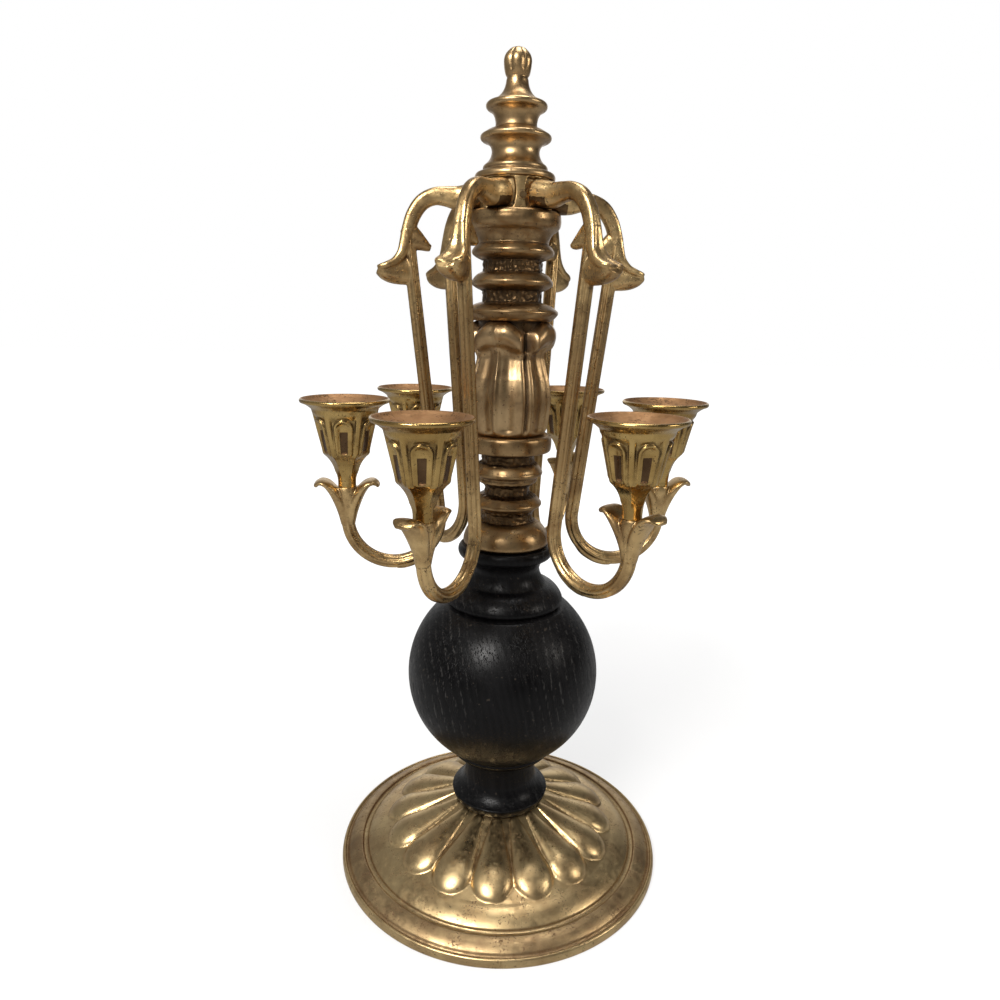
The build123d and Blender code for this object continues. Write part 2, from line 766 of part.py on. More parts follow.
# Candle cup: stalk, faceted cone, wall with arched panels, flared rim and a dish round the candle hole
shoulder = bore_radius + cup_wall
rim = cup_rim_dia / 2
throat = cup_throat_dia / 2
cup_outside = climb([
    (screw_hole_radius, 0, straight),
    (cup_seat_dia / 2, 0, straight),
    (cup_seat_dia / 2, cup_stalk_foot, straight),
    (cup_stalk_dia / 2, cup_stalk_rise, -slight),
    (shoulder - cup_shoulder_lip, cup_cone_rise, -soft),
    (shoulder, cup_shoulder_rise, slight),
    (shoulder, cup_shoulder_edge, straight),
    (throat, candle_bore_depth, straight),
    (throat + cup_flare, cup_flare_rise, -slight),
    (rim, cup_rim_rise, -slight),
    (rim, cup_rim_edge, slight),
])
cup_floor = cup_outside[6][1]
throat_height = cup_outside[7][1]
cup_height = cup_outside[-1][1]
recess_radius = screw_head_dia / 2 + head_recess_gap
recess_floor = cup_floor - screw_head_height - head_recess_gap
cup_inside = [
    (rim - cup_lip, cup_height, straight),
    (rim - cup_lip - dish_edge, cup_height - dish_edge, straight),
    (bore_radius, throat_height, straight),
    (bore_radius, cup_floor, straight),
    (recess_radius, cup_floor, straight),
    (recess_radius, recess_floor, straight),
    (screw_hole_radius, recess_floor, straight),
]
cone_foot = cup_outside[3][1]
cone_top = cup_outside[4][1]
with BuildPart() as cone_cutter:
    with BuildSketch(Plane.XY.offset(cone_foot)):
        Circle(rim)
    extrude(amount=cone_top - cone_foot)
    with BuildPart(mode=Mode.SUBTRACT):
        for height, flats in ((cone_foot, cup_cone_foot_flats), (cone_top, cup_cone_flats)):
            with BuildSketch(Plane.XY.offset(height)):
                RegularPolygon(flats / 2, cup_panel_count, major_radius=False)
        loft()
wall_lean = math.atan2(throat - shoulder, candle_bore_depth)
wall_out = Vector(math.cos(wall_lean), 0, -math.sin(wall_lean))
wall_plane = Plane((shoulder, 0, cup_floor), x_dir=(0, 1, 0), z_dir=wall_out)


def arch_cutter(width, foot, rise, depth):
    """A round-headed niche in the wall, open outward"""
    with BuildPart() as cutter:
        with BuildSketch(wall_plane.offset(-depth)):
            with Locations((0, foot + rise / 2)):
                Rectangle(width, rise)
            with Locations((0, foot + rise)):
                Circle(width / 2)
        extrude(amount=rim)
    return cutter.part


niche = arch_cutter(niche_width, niche_foot, niche_rise, niche_depth)
slot = arch_cutter(slot_width, slot_foot, slot_rise, slot_depth)
with BuildPart() as candle_cup:
    add(turned(cup_outside + cup_inside))
    add(cone_cutter.part, mode=Mode.SUBTRACT)
    for number in range(cup_panel_count):
        turn = (number + 0.5) * 360 / cup_panel_count
        add([niche.rotate(Axis.Z, turn), slot.rotate(Axis.Z, turn)], mode=Mode.SUBTRACT)
with BuildPart() as cup_screw:
    head_z = cup_seat_z + recess_floor
    add(upright_pin(screw_head_dia / 2, head_z, screw_head_height))
    add(upright_pin(screw_radius, cup_seat_z - screw_grip, recess_floor + screw_grip))
for number, turn in enumerate(arm_turns, 1):
    save(candle_cup.part.moved(Location(cup_point)).rotate(Axis.Z, turn), f"candle_cup_{number}")
save(Compound([cup_screw.part.solid().rotate(Axis.Z, turn) for turn in arm_turns]), "cup_screws")

# Finial: a stepped foot, two rings, a flared stalk and a lobed bud, bored for the rod
stalk = finial_stalk_dia / 2
finial_outside = climb([
    (running_radius, 0, straight),
    (finial_foot_dia / 2, 0, straight),
    (finial_foot_dia / 2 - finial_foot_tuck, finial_foot_edge, soft),
    (finial_step_dia / 2, finial_step_rise, straight),
    (finial_step_dia / 2 - finial_foot_tuck, finial_step_edge, soft),
    (finial_cove_dia / 2, finial_cove_rise, -soft),
    (finial_ring_dia / 2, finial_cove_rise, -plump),
    (finial_ring_dia / 2, finial_ring_edge, plump),
    (finial_neck_dia / 2, finial_neck_fall, slight),
    (finial_neck_dia / 2, finial_neck_rise, -slight),
    (finial_top_ring_dia / 2, finial_top_ring_rise, -soft),
    (finial_top_ring_dia / 2, finial_top_ring_edge, plump),
    (stalk, finial_stalk_rise, -deep),
    (stalk, finial_stalk_end, straight),
    (0, 0, straight),
])
finial_bore = [
    (0, finial_thread_depth, straight),
    (running_radius, finial_thread_depth, straight),
]
bud_z = finial_z + finial_outside[-1][1] - finial_stalk_end + bud_height / 2
bud_plane = upright((bud_dia - bud_lobe_dia) / 2, bud_z)
with BuildPart() as bud_lobe:
    with BuildSketch(bud_plane):
        Ellipse(bud_lobe_dia / 2, bud_height / 2)
        with Locations((bud_lobe_dia / 2, 0)):
            Rectangle(bud_lobe_dia, bud_height, mode=Mode.INTERSECT)
    revolve(axis=Axis(bud_plane.origin, (0, 0, 1)))
with BuildPart() as finial:
    add(turned(finial_outside + finial_bore, finial_z))
    for number in range(bud_lobe_count):
        add(bud_lobe.part.rotate(Axis.Z, number * 360 / bud_lobe_count))
save(finial.part, "finial")
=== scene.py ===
import json
import math

import bmesh
import bpy
import numpy as np
from mathutils import Matrix, Vector


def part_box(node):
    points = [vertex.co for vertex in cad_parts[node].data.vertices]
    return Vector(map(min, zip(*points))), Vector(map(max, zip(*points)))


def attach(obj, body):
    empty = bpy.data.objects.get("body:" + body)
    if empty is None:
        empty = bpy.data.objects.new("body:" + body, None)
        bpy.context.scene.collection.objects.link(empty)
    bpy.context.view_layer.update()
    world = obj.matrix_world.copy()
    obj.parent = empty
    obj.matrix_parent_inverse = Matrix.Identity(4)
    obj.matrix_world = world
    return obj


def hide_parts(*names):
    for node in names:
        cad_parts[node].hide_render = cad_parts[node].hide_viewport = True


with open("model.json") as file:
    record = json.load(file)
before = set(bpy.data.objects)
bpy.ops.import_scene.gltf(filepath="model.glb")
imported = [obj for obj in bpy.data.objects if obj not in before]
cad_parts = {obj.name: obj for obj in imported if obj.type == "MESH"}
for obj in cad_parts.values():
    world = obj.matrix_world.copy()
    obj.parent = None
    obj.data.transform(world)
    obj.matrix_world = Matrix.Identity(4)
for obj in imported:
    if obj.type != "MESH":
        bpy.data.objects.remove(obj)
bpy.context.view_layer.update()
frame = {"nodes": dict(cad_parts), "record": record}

# Sizes are written in millimetres and degrees, and meshes are made in metres
MM = 0.001

# Meshes: space between the points of an outline, rounds of softening, and the gap at which points merge
SPACING = 0.4
ROUNDING = 2
MERGE_GAP = 0.0001

# How far the arc of a face stands out of its chord, or into it where negative
STRAIGHT = 0.0
SLIGHT = 0.3
SOFT = 0.7
PLUMP = 1.5
DEEP = 2.3

# Places that come from the frame, in millimetres
record = frame["record"]
sockets = [mount for mount in record["mounts"] if mount["kind"] == "bore"]
arm_turns = [math.atan2(mount["pos_m"][1], mount["pos_m"][0]) for mount in sockets]
cup_axis = math.hypot(*sockets[0]["pos_m"][:2]) / MM
candle_radius = sockets[0]["dims"]["r_mm"]
candle_depth = sockets[0]["dims"]["length_mm"]


def low_z(node):
    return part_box(node)[0].z / MM


def high_z(node):
    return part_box(node)[1].z / MM


# Points farther out than outer_skin lie on the outside of a bored piece
ROD_GAP = 0.3
BORE_MARGIN = 1.0
rod_radius = (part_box("tie_rod")[1].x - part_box("tie_rod")[0].x) / 2 / MM
bore = rod_radius + ROD_GAP
outer_skin = bore + BORE_MARGIN


# Outlines and meshes

def smooth(low, high, value):
    """Eased step from 0 at low to 1 at high"""
    share = np.clip((value - low) / (high - low), 0, 1)
    return share * share * (3 - 2 * share)


def arc(start, end, bulge):
    """Evenly spaced points from start to end, without start, on an arc that bulges to the right"""
    start, end = np.array(start, float), np.array(end, float)
    chord = end - start
    length = np.hypot(*chord)
    count = max(2, math.ceil(length / SPACING))
    shares = np.arange(1, count + 1) / count
    if not bulge:
        return start + shares[:, None] * chord
    along = chord / length
    right = np.array([along[1], -along[0]])
    radius = (length**2 / 4 + bulge**2) / (2 * abs(bulge))
    side = math.copysign(1, bulge)
    centre = (start + end) / 2 + right * (bulge - side * radius)
    angles = math.asin(min(1, length / 2 / radius)) * (2 * shares - 1)
    return centre + radius * (side * np.cos(angles)[:, None] * right + np.sin(angles)[:, None] * along)


def outline(steps, base_z, bore_radius=None):
    """Points of a turned outline from (radius, rise, bulge) steps, closed along a bore where one is given"""
    heights = base_z + np.cumsum([rise for _, rise, _ in steps])
    corners = [(radius, height, bulge) for (radius, _, bulge), height in zip(steps, heights)]
    if bore_radius:
        corners = [(bore_radius, heights[0], 0), *corners, (bore_radius, heights[-1], 0)]
        corners.append(corners[0])
    points = [np.array([corners[0][:2]], float)]
    for start, end in zip(corners, corners[1:]):
        if start[:2] != end[:2]:
            points.append(arc(start[:2], end[:2], end[2]))
    points = np.concatenate(points)
    if bore_radius:
        points = points[:-1]
    return soften(points, closed=bool(bore_radius))


def soften(points, closed):
    """Round the corners of an outline a little"""
    for _ in range(ROUNDING):
        inner = (np.roll(points, 1, 0) + 2 * points + np.roll(points, -1, 0)) / 4
        if not closed:
            inner[0], inner[-1] = points[0], points[-1]
        points = inner
    return points


def link(name, mesh):
    piece = bpy.data.objects.new(name, mesh)
    bpy.context.scene.collection.objects.link(piece)
    return piece


def grid_faces(rows, columns, closed_rows, closed_columns, first=0):
    """Quads of a grid of points, counted from the given first point"""
    row = np.arange(rows if closed_rows else rows - 1)
    column = np.arange(columns if closed_columns else columns - 1)
    row, column = np.meshgrid(row, column, indexing="ij")
    next_row, next_column = (row + 1) % rows, (column + 1) % columns
    corners = [row * columns + column, row * columns + next_column,
               next_row * columns + next_column, next_row * columns + column]
    return first + np.stack([corner.ravel() for corner in corners], 1)


def solid(name, points, faces):
    """A smooth mesh of points in millimetres, with doubled points merged and its faces outward"""
    mesh = bpy.data.meshes.new(name)
    mesh.from_pydata((np.asarray(points) * MM).tolist(), [], np.asarray(faces).tolist())
    form = bmesh.new()
    form.from_mesh(mesh)
    bmesh.ops.remove_doubles(form, verts=form.verts, dist=MERGE_GAP * MM)
    bmesh.ops.recalc_face_normals(form, faces=form.faces)
    if form.calc_volume(signed=True) < 0:
        bmesh.ops.reverse_faces(form, faces=form.faces)
    form.to_mesh(mesh)
    form.free()
    mesh.shade_smooth()
    return mesh


def revolved(name, points, columns, shape=None, closed=True):
    """Turn an outline round the z axis; shape may move its points by radius, height and bearing"""
    bearing = np.linspace(0, 2 * math.pi, columns, endpoint=False)[None, :]
    radius = np.repeat(points[:, :1], columns, 1)
    height = np.repeat(points[:, 1:], columns, 1)
    if shape:
        radius, height = shape(radius, height, bearing)
    spots = np.stack([radius * np.sin(bearing), -radius * np.cos(bearing), height], -1)
    return solid(name, spots.reshape(-1, 3), grid_faces(len(points), columns, closed, True))


LUMP_WAVES = 14
LUMP_LEVEL = 5


def lumps(seed, size, *places):
    """Uneven lumps from -1 to 1 of about the given size, from seeded waves over the places"""
    waves = np.random.default_rng(seed)
    total = 0
    for _ in range(LUMP_WAVES):
        heading = waves.normal(size=len(places))
        heading *= 2 * math.pi / size / np.linalg.norm(heading)
        phase = waves.uniform(0, 2 * math.pi)
        total = total + np.sin(sum(k * place for k, place in zip(heading, places)) + phase)
    return np.clip(total / LUMP_LEVEL, -1, 1)


def between(stations, count):
    """Smooth values through the rows of listed stations"""
    stations = np.array(stations, float)
    padded = np.concatenate([[2 * stations[0] - stations[1]], stations, [2 * stations[-1] - stations[-2]]])
    places = np.linspace(0, len(stations) - 1, count)
    index = np.minimum(places.astype(int), len(stations) - 2)
    share = (places - index)[:, None]
    a, b, c, d = (padded[index + shift] for shift in range(4))
    return b + share / 2 * (c - a + share * (2 * a - 5 * b + 4 * c - d + share * (3 * (b - c) + d - a)))


# The channel of a bar grows between two shares of its length, and its width is a share of half the bar's
CHANNEL_GROWTH = (0.35, 0.95)
CHANNEL_WIDTH = 0.55


def cast_bar(stations, fullness, channel=0.0, count=90, sides=40):
    """Points and faces of a bar in the xz plane through stations of (x, z, width, thickness).
    Its section is a rounded box, and a channel sinks the middle of its left face."""
    path = between(stations, count)
    heading = np.gradient(path[:, :2], axis=0)
    heading /= np.linalg.norm(heading, axis=1)[:, None]
    left = np.stack([-heading[:, 1], heading[:, 0]], 1)
    turn = np.linspace(0, 2 * math.pi, sides, endpoint=False)
    across = np.sign(np.cos(turn)) * np.abs(np.cos(turn)) ** (2 / fullness)
    through = np.sign(np.sin(turn)) * np.abs(np.sin(turn)) ** (2 / fullness)
    growth = smooth(*CHANNEL_GROWTH, np.linspace(0, 1, count))
    sink = channel * growth[:, None] * np.clip(through, 0, 1) * np.exp(-(across / CHANNEL_WIDTH) ** 2)
    depth = path[:, 3:] / 2 * through - sink
    spots = np.stack([path[:, :1] + left[:, :1] * depth, path[:, 2:3] / 2 * across + 0 * depth,
                      path[:, 1:2] + left[:, 1:] * depth], -1)
    ends = np.repeat(spots[[0, -1]].mean(1)[:, None, :], sides, 1)
    spots = np.concatenate([ends[:1], spots, ends[1:]])
    return spots.reshape(-1, 3), grid_faces(count + 2, sides, False, True)


EASE_SHARE = 0.5
EASE_ROUNDS = 2


def fused(name, shells, voxel):
    """One mesh skin over overlapping closed shells, as a casting has"""
    points, faces, first = [], [], 0
    for shell_points, shell_faces in shells:
        points.append(shell_points)
        faces.append(shell_faces + first)
        first += len(shell_points)
    piece = link(name, solid(name, np.concatenate(points), np.concatenate(faces)))
    remesh = piece.modifiers.new("skin", "REMESH")
    remesh.mode = "VOXEL"
    remesh.voxel_size = voxel * MM
    ease = piece.modifiers.new("ease", "SMOOTH")
    ease.factor = EASE_SHARE
    ease.iterations = EASE_ROUNDS
    graph = bpy.context.evaluated_depsgraph_get()
    mesh = bpy.data.meshes.new_from_object(piece.evaluated_get(graph))
    bpy.data.objects.remove(piece)
    mesh.shade_smooth()
    return mesh


def dress(mesh, choose, *materials):
    """Give each face one of the materials, chosen from the face's middle in millimetres and its normal"""
    for material in materials:
        mesh.materials.append(material)
    for face in mesh.polygons:
        face.material_index = choose(face.center / MM, face.normal)


def show(name, mesh, material, body, slot, *nodes):
    """Put a piece on its body in place of its nodes"""
    piece = link(name, mesh)
    if not mesh.materials:
        mesh.materials.append(material)
    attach(piece, body)
    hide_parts(*nodes)


def show_round(name, mesh, node_name, slot):
    """Put a copy of a mesh made for the x axis at each arm, in place of the arm's own node"""
    for number, turn in enumerate(arm_turns, 1):
        copy = mesh.copy()
        copy.transform(Matrix.Rotation(turn, 4, "Z"))
        show(f"{name}_{number}", copy, None, "arm_cluster", slot, f"{node_name}_{number}")


# Materials: noise scales are in waves per metre, and ranges are levels of a noise from 0 to 1

def new_material(name):
    material = bpy.data.materials.new(name)
    material.use_nodes = True
    return material, material.node_tree, material.node_tree.nodes["Principled BSDF"]


def node(tree, kind, inputs=None, **settings):
    """A shader node with its settings, and its inputs set to values or linked to sockets"""
    made = tree.nodes.new("ShaderNode" + kind)
    for key, value in settings.items():
        setattr(made, key, value)
    for key, value in (inputs or {}).items():
        if isinstance(value, bpy.types.NodeSocket):
            tree.links.new(value, made.inputs[key])
        else:
            made.inputs[key].default_value = value
    return made


def noise(tree, place, scale, detail=4.0, roughness=0.6):
    inputs = {"Vector": place, "Scale": scale, "Detail": detail, "Roughness": roughness}
    return node(tree, "TexNoise", inputs).outputs["Fac"]


def remap(tree, value, low, high, to_low=0.0, to_high=1.0):
    inputs = {"Value": value, "From Min": low, "From Max": high, "To Min": to_low, "To Max": to_high}
    return node(tree, "MapRange", inputs, interpolation_type="SMOOTHSTEP").outputs["Result"]


def mix(tree, share, first, second):
    made = node(tree, "Mix", {0: share, 6: first, 7: second}, data_type="RGBA")
    return made.outputs[2]


def maths(tree, operation, first, second):
    return node(tree, "Math", {0: first, 1: second}, operation=operation).outputs[0]


HOLLOW_SAMPLES = 6


def hollows(tree, reach):
    """How enclosed the surface is within a reach in millimetres: 0 in the open, 1 in a deep hollow"""
    made = node(tree, "AmbientOcclusion", {"Distance": reach * MM}, samples=HOLLOW_SAMPLES, only_local=True)
    return maths(tree, "SUBTRACT", 1.0, made.outputs["AO"])


# Old brass
DRIFT_SCALE = 55
DRIFT_RANGE = (0.36, 0.66)
CLOUD_SCALE = 260
CLOUD_RANGE = (0.3, 0.7)
CLOUD_MIDDLE = 0.5
CLOUD_GRIME = 0.55
SPECK_SCALE = 900
SPECK_EDGE = 0.06
SPECK_GRIME = 0.8
SPECK_DEPTH = 0.5
PATCH_SCALE = 120
PATCH_RANGE = (0.45, 0.62)
SKIN_SCALE = 420
SKIN_HEIGHT = 0.4
DIRT_ROUGHNESS = 0.3
DIRT_METALLIC = 0.55
SHADE_SPAN_SHARE = 0.85
SHADE_SPAN_FOOT_EASE = 20
SHADE_SPAN_HEAD_EASE = 12


def brass(name, bright, deep, patina_and_shade_tone, sheen, hollow, pits, reach=7, specks=0.62, shaded_span=None):
    """Old brass: tones that drift, brown specks and a pitted cast skin, and brown in the hollows from an
    occlusion measure, partly real tarnish and partly painted shade.
    Between two heights in millimetres that the last argument may give, the metal is darker, as painted shade
    below the arm straps."""
    material, tree, shader = new_material(name)
    place = node(tree, "TexCoord").outputs["Object"]
    drift = remap(tree, noise(tree, place, DRIFT_SCALE, detail=5, roughness=0.65), *DRIFT_RANGE)
    cloud = noise(tree, place, CLOUD_SCALE, detail=4, roughness=0.7)
    if shaded_span:
        foot, head = shaded_span
        height = node(tree, "SeparateXYZ", {0: place}).outputs["Z"]
        over = remap(tree, height, (foot - SHADE_SPAN_FOOT_EASE) * MM, (foot + SHADE_SPAN_FOOT_EASE) * MM)
        under = remap(tree, height, (head + SHADE_SPAN_HEAD_EASE) * MM, (head - SHADE_SPAN_HEAD_EASE) * MM)
        painted_shade = maths(tree, "MULTIPLY", maths(tree, "MULTIPLY", over, under), SHADE_SPAN_SHARE)
        drift = maths(tree, "MAXIMUM", drift, painted_shade)
    tone = mix(tree, drift, bright, deep)
    uneven = maths(tree, "MULTIPLY", maths(tree, "SUBTRACT", cloud, CLOUD_MIDDLE), CLOUD_GRIME)
    # Painted shade: occlusion darkens the hollows towards the dark tone, together with the uneven cloud of
    # real tarnish
    grime_and_painted_shade = remap(tree, maths(tree, "ADD", hollows(tree, reach), uneven), *hollow)
    fine = noise(tree, place, SPECK_SCALE, detail=2, roughness=0.5)
    patch = remap(tree, noise(tree, place, PATCH_SCALE, detail=2), *PATCH_RANGE)
    speck = maths(tree, "MULTIPLY", remap(tree, fine, specks, specks + SPECK_EDGE), patch)
    dirt_and_painted_shade = maths(tree, "MAXIMUM", grime_and_painted_shade, maths(tree, "MULTIPLY", speck, SPECK_GRIME))
    tree.links.new(mix(tree, dirt_and_painted_shade, tone, patina_and_shade_tone), shader.inputs["Base Color"])
    rough = remap(tree, cloud, *CLOUD_RANGE, *sheen)
    rough = maths(tree, "ADD", rough, maths(tree, "MULTIPLY", dirt_and_painted_shade, DIRT_ROUGHNESS))
    tree.links.new(rough, shader.inputs["Roughness"])
    tree.links.new(remap(tree, dirt_and_painted_shade, 0.0, 1.0, 1.0, DIRT_METALLIC), shader.inputs["Metallic"])
    skin = noise(tree, place, SKIN_SCALE, detail=5, roughness=0.65)
    skin = maths(tree, "SUBTRACT", skin, maths(tree, "MULTIPLY", speck, SPECK_DEPTH))
    bump = node(tree, "Bump", {"Strength": pits, "Distance": SKIN_HEIGHT * MM, "Height": skin})
    tree.links.new(bump.outputs["Normal"], shader.inputs["Normal"])
    return material


# Ebonised wood
GRAIN_LEAN = (0.16, 0.22, 0)
GRAIN_MIDDLE = (0.05, 0.09, 0)
GRAIN_STRENGTH = 0.45
GRAIN_DEPTH = 0.25
PORE_STRETCH = (1.0, 1.0, 0.035)
PORE_SCALE = 1300
PORE_RANGE = (0.54, 0.66)
PORE_ROUGHNESS = 0.2
PORE_TONE = (0.0015, 0.0014, 0.0015, 1)
YEAR_WAVES = {"Scale": 85, "Distortion": 3.0, "Detail": 3, "Detail Scale": 0.8}
YEAR_RELIEF = 0.25
YEAR_TONES = ((0.0012, 0.0011, 0.0013, 1), (0.0036, 0.0033, 0.0036, 1))
DUST_SCALE = 35
DUST_RANGE = (0.4, 0.7)
DUST_SHARE = 0.4
DUST_TONE = (0.0062, 0.0058, 0.0066, 1)
NICK_SCALE = 420
NICK_RANGE = (0.70, 0.74)
NICK_SHARE = 0.7
NICK_TONE = (0.045, 0.036, 0.028, 1)
SLICE_WAVES = {"Scale": 72, "Distortion": 2.2, "Detail": 2, "Detail Scale": 0.6}
SLICE_RANGE = (0.8, 0.97)
DASH_STRETCH = (1.0, 1.0, 0.22)
DASH_SCALE = 900
DASH_RANGE = (0.5, 0.6)
DASH_SHARE = 0.8
DASH_TONE = (0.042, 0.040, 0.038, 1)
DASH_START = 6
DASH_FULL = 30
WOOD_SPECULAR = 0.17
WOOD_SHEEN = (0.3, 0.42)


def stretched(tree, place, scale):
    return node(tree, "Mapping", {"Vector": place, "Scale": scale}).outputs["Vector"]


def ebonised_wood():
    """Black stained wood: open pores along the grain, soft year lines, light dashes on two sides, dust"""
    material, tree, shader = new_material("ebonised_wood")
    place = node(tree, "TexCoord").outputs["Object"]
    lean = {"Vector": place, "Rotation": GRAIN_LEAN, "Location": GRAIN_MIDDLE}
    grain = node(tree, "Mapping", lean).outputs["Vector"]
    long_grain = stretched(tree, grain, PORE_STRETCH)
    pores = remap(tree, noise(tree, long_grain, PORE_SCALE, detail=3, roughness=0.6), *PORE_RANGE)
    rings = {"Vector": grain, **YEAR_WAVES}
    years = node(tree, "TexWave", rings, wave_type="RINGS", rings_direction="Z").outputs["Fac"]
    dust = remap(tree, noise(tree, place, DUST_SCALE, detail=4), *DUST_RANGE)
    nicks = remap(tree, noise(tree, place, NICK_SCALE, detail=2, roughness=0.4), *NICK_RANGE)
    bands = {"Vector": grain, **SLICE_WAVES}
    slices = node(tree, "TexWave", bands, wave_type="BANDS", bands_direction="X").outputs["Fac"]
    breaks = noise(tree, stretched(tree, place, DASH_STRETCH), DASH_SCALE, detail=2)
    dashes = maths(tree, "MULTIPLY", remap(tree, slices, *SLICE_RANGE), remap(tree, breaks, *DASH_RANGE))
    sideways = maths(tree, "ABSOLUTE", node(tree, "SeparateXYZ", {0: place}).outputs["X"], 0.0)
    dashes = maths(tree, "MULTIPLY", dashes, remap(tree, sideways, DASH_START * MM, DASH_FULL * MM))
    tone = mix(tree, years, *YEAR_TONES)
    tone = mix(tree, maths(tree, "MULTIPLY", dust, DUST_SHARE), tone, DUST_TONE)
    tone = mix(tree, pores, tone, PORE_TONE)
    tone = mix(tree, maths(tree, "MULTIPLY", nicks, NICK_SHARE), tone, NICK_TONE)
    tone = mix(tree, maths(tree, "MULTIPLY", dashes, DASH_SHARE), tone, DASH_TONE)
    tree.links.new(tone, shader.inputs["Base Color"])
    shader.inputs["Specular IOR Level"].default_value = WOOD_SPECULAR
    rough = remap(tree, dust, 0, 1, *WOOD_SHEEN)
    rough = maths(tree, "ADD", rough, maths(tree, "MULTIPLY", pores, PORE_ROUGHNESS))
    tree.links.new(rough, shader.inputs["Roughness"])
    relief = maths(tree, "SUBTRACT", maths(tree, "MULTIPLY", years, YEAR_RELIEF), pores)
    bump = node(tree, "Bump", {"Strength": GRAIN_STRENGTH, "Distance": GRAIN_DEPTH * MM, "Height": relief})
    tree.links.new(bump.outputs["Normal"], shader.inputs["Normal"])
    return material


# Steel
BLOTCH_SCALE = 180
BLOTCH_RANGE = (0.3, 0.7)
STEEL_TONES = ((0.36, 0.33, 0.28, 1), (0.5, 0.48, 0.44, 1))
STEEL_SHEEN = (0.35, 0.6)


def plain_steel():
    """Dull zinc-plated steel with faint blotches"""
    material, tree, shader = new_material("steel")
    place = node(tree, "TexCoord").outputs["Object"]
    blotch = noise(tree, place, BLOTCH_SCALE)
    tree.links.new(mix(tree, blotch, *STEEL_TONES), shader.inputs["Base Color"])
    tree.links.new(remap(tree, blotch, *BLOTCH_RANGE, *STEEL_SHEEN), shader.inputs["Roughness"])
    shader.inputs["Metallic"].default_value = 1.0
    return material


# Finishes
# Heights in millimetres between which the stems are darker, as painted shade below the arm straps
STEM_SHADE_SPAN = (235, 330)
base_brass = brass(
    "base_brass",
    bright=(0.64, 0.475, 0.245, 1),
    deep=(0.49, 0.34, 0.17, 1),
    patina_and_shade_tone=(0.13, 0.068, 0.03, 1),
    sheen=(0.27, 0.43),
    hollow=(0.24, 0.6),
    pits=0.08,
    reach=8,
    specks=0.58,
)
column_brass = brass(
    "column_brass",
    bright=(0.40, 0.265, 0.13, 1),
    deep=(0.25, 0.157, 0.074, 1),
    patina_and_shade_tone=(0.022, 0.013, 0.006, 1),
    sheen=(0.26, 0.42),
    hollow=(0.14, 0.42),
    pits=0.08,
)
finial_brass = brass(
    "finial_brass",
    bright=(0.53, 0.36, 0.18, 1),
    deep=(0.37, 0.24, 0.115, 1),
    patina_and_shade_tone=(0.045, 0.025, 0.011, 1),
    sheen=(0.27, 0.43),
    hollow=(0.15, 0.46),
    pits=0.12,
)
vase_brass = brass(
    "vase_brass",
    bright=(0.52, 0.36, 0.19, 1),
    deep=(0.32, 0.207, 0.105, 1),
    patina_and_shade_tone=(0.085, 0.048, 0.022, 1),
    sheen=(0.27, 0.43),
    hollow=(0.14, 0.5),
    pits=0.12,
)
arm_brass = brass(
    "arm_brass",
    bright=(0.70, 0.495, 0.235, 1),
    deep=(0.37, 0.235, 0.105, 1),
    patina_and_shade_tone=(0.045, 0.024, 0.01, 1),
    sheen=(0.25, 0.42),
    hollow=(0.12, 0.4),
    pits=0.32,
    reach=4,
    specks=0.58,
    shaded_span=STEM_SHADE_SPAN,
)
cup_brass = brass(
    "cup_brass",
    bright=(0.54, 0.37, 0.14, 1),
    deep=(0.36, 0.23, 0.08, 1),
    patina_and_shade_tone=(0.04, 0.021, 0.008, 1),
    sheen=(0.16, 0.30),
    hollow=(0.12, 0.4),
    pits=0.16,
    reach=3,
)
dish_brass = brass(
    "dish_brass",
    bright=(0.36, 0.205, 0.10, 1),
    deep=(0.26, 0.145, 0.068, 1),
    patina_and_shade_tone=(0.06, 0.032, 0.014, 1),
    sheen=(0.5, 0.7),
    hollow=(0.4, 0.9),
    pits=0.6,
    specks=0.55,
)
# Painted shade: a near-black brown in the shallow slots of the cup panels
niche_brass = brass(
    "niche_brass",
    bright=(0.13, 0.078, 0.04, 1),
    deep=(0.085, 0.048, 0.025, 1),
    patina_and_shade_tone=(0.03, 0.016, 0.007, 1),
    sheen=(0.16, 0.30),
    hollow=(0.2, 0.6),
    pits=0.16,
    reach=3,
)
# Dark brown on the necks, the vase core and the underside of the arm roots: tarnish on the stippled necks,
# and painted shade in all three places
neck_brass = brass(
    "neck_brass",
    bright=(0.17, 0.105, 0.05, 1),
    deep=(0.075, 0.044, 0.02, 1),
    patina_and_shade_tone=(0.018, 0.01, 0.005, 1),
    sheen=(0.24, 0.4),
    hollow=(0.2, 0.6),
    pits=0.3,
)
band_brass = brass(
    "band_brass",
    bright=(0.50, 0.355, 0.185, 1),
    deep=(0.32, 0.21, 0.108, 1),
    patina_and_shade_tone=(0.13, 0.068, 0.03, 1),
    sheen=(0.32, 0.5),
    hollow=(0.16, 0.5),
    pits=0.14,
    reach=8,
    specks=0.55,
)
wood_finish = ebonised_wood()
steel_finish = plain_steel()

# Base: rim, groove, band, channel, sloping apron and a dome with teardrop lobes
BASE_SIDES = 576
RIM_RADIUS = 96.0
HOLLOW_RADIUS = 89.6
WALL = 3.2
SEAT_RADIUS = 24.6
SEAT_STEP = 0.9
DOME_EDGE = 26.6
DOME_TOP = low_z("wood_baluster") - SEAT_STEP
DOME_FOOT = 69.5
DOME_FOOT_Z = 15.2
DOME_SLOPE = (DOME_TOP - DOME_FOOT_Z) / (DOME_FOOT - DOME_EDGE)
LOBES = 16
LOBE_BEARING = -3.2
LOBE_ROUNDS = 48
LOBE_FULLNESS = 0.52
SEAT_MARGIN = 0.2
BAND = (83.6, 93.6)

# A lobe swells from its inner to its outer round, each as (reach, size, rise)
LOBE_INNER = (28.6, 3.2, 1.3)
LOBE_OUTER = (58.0, 11.6, 5.2)

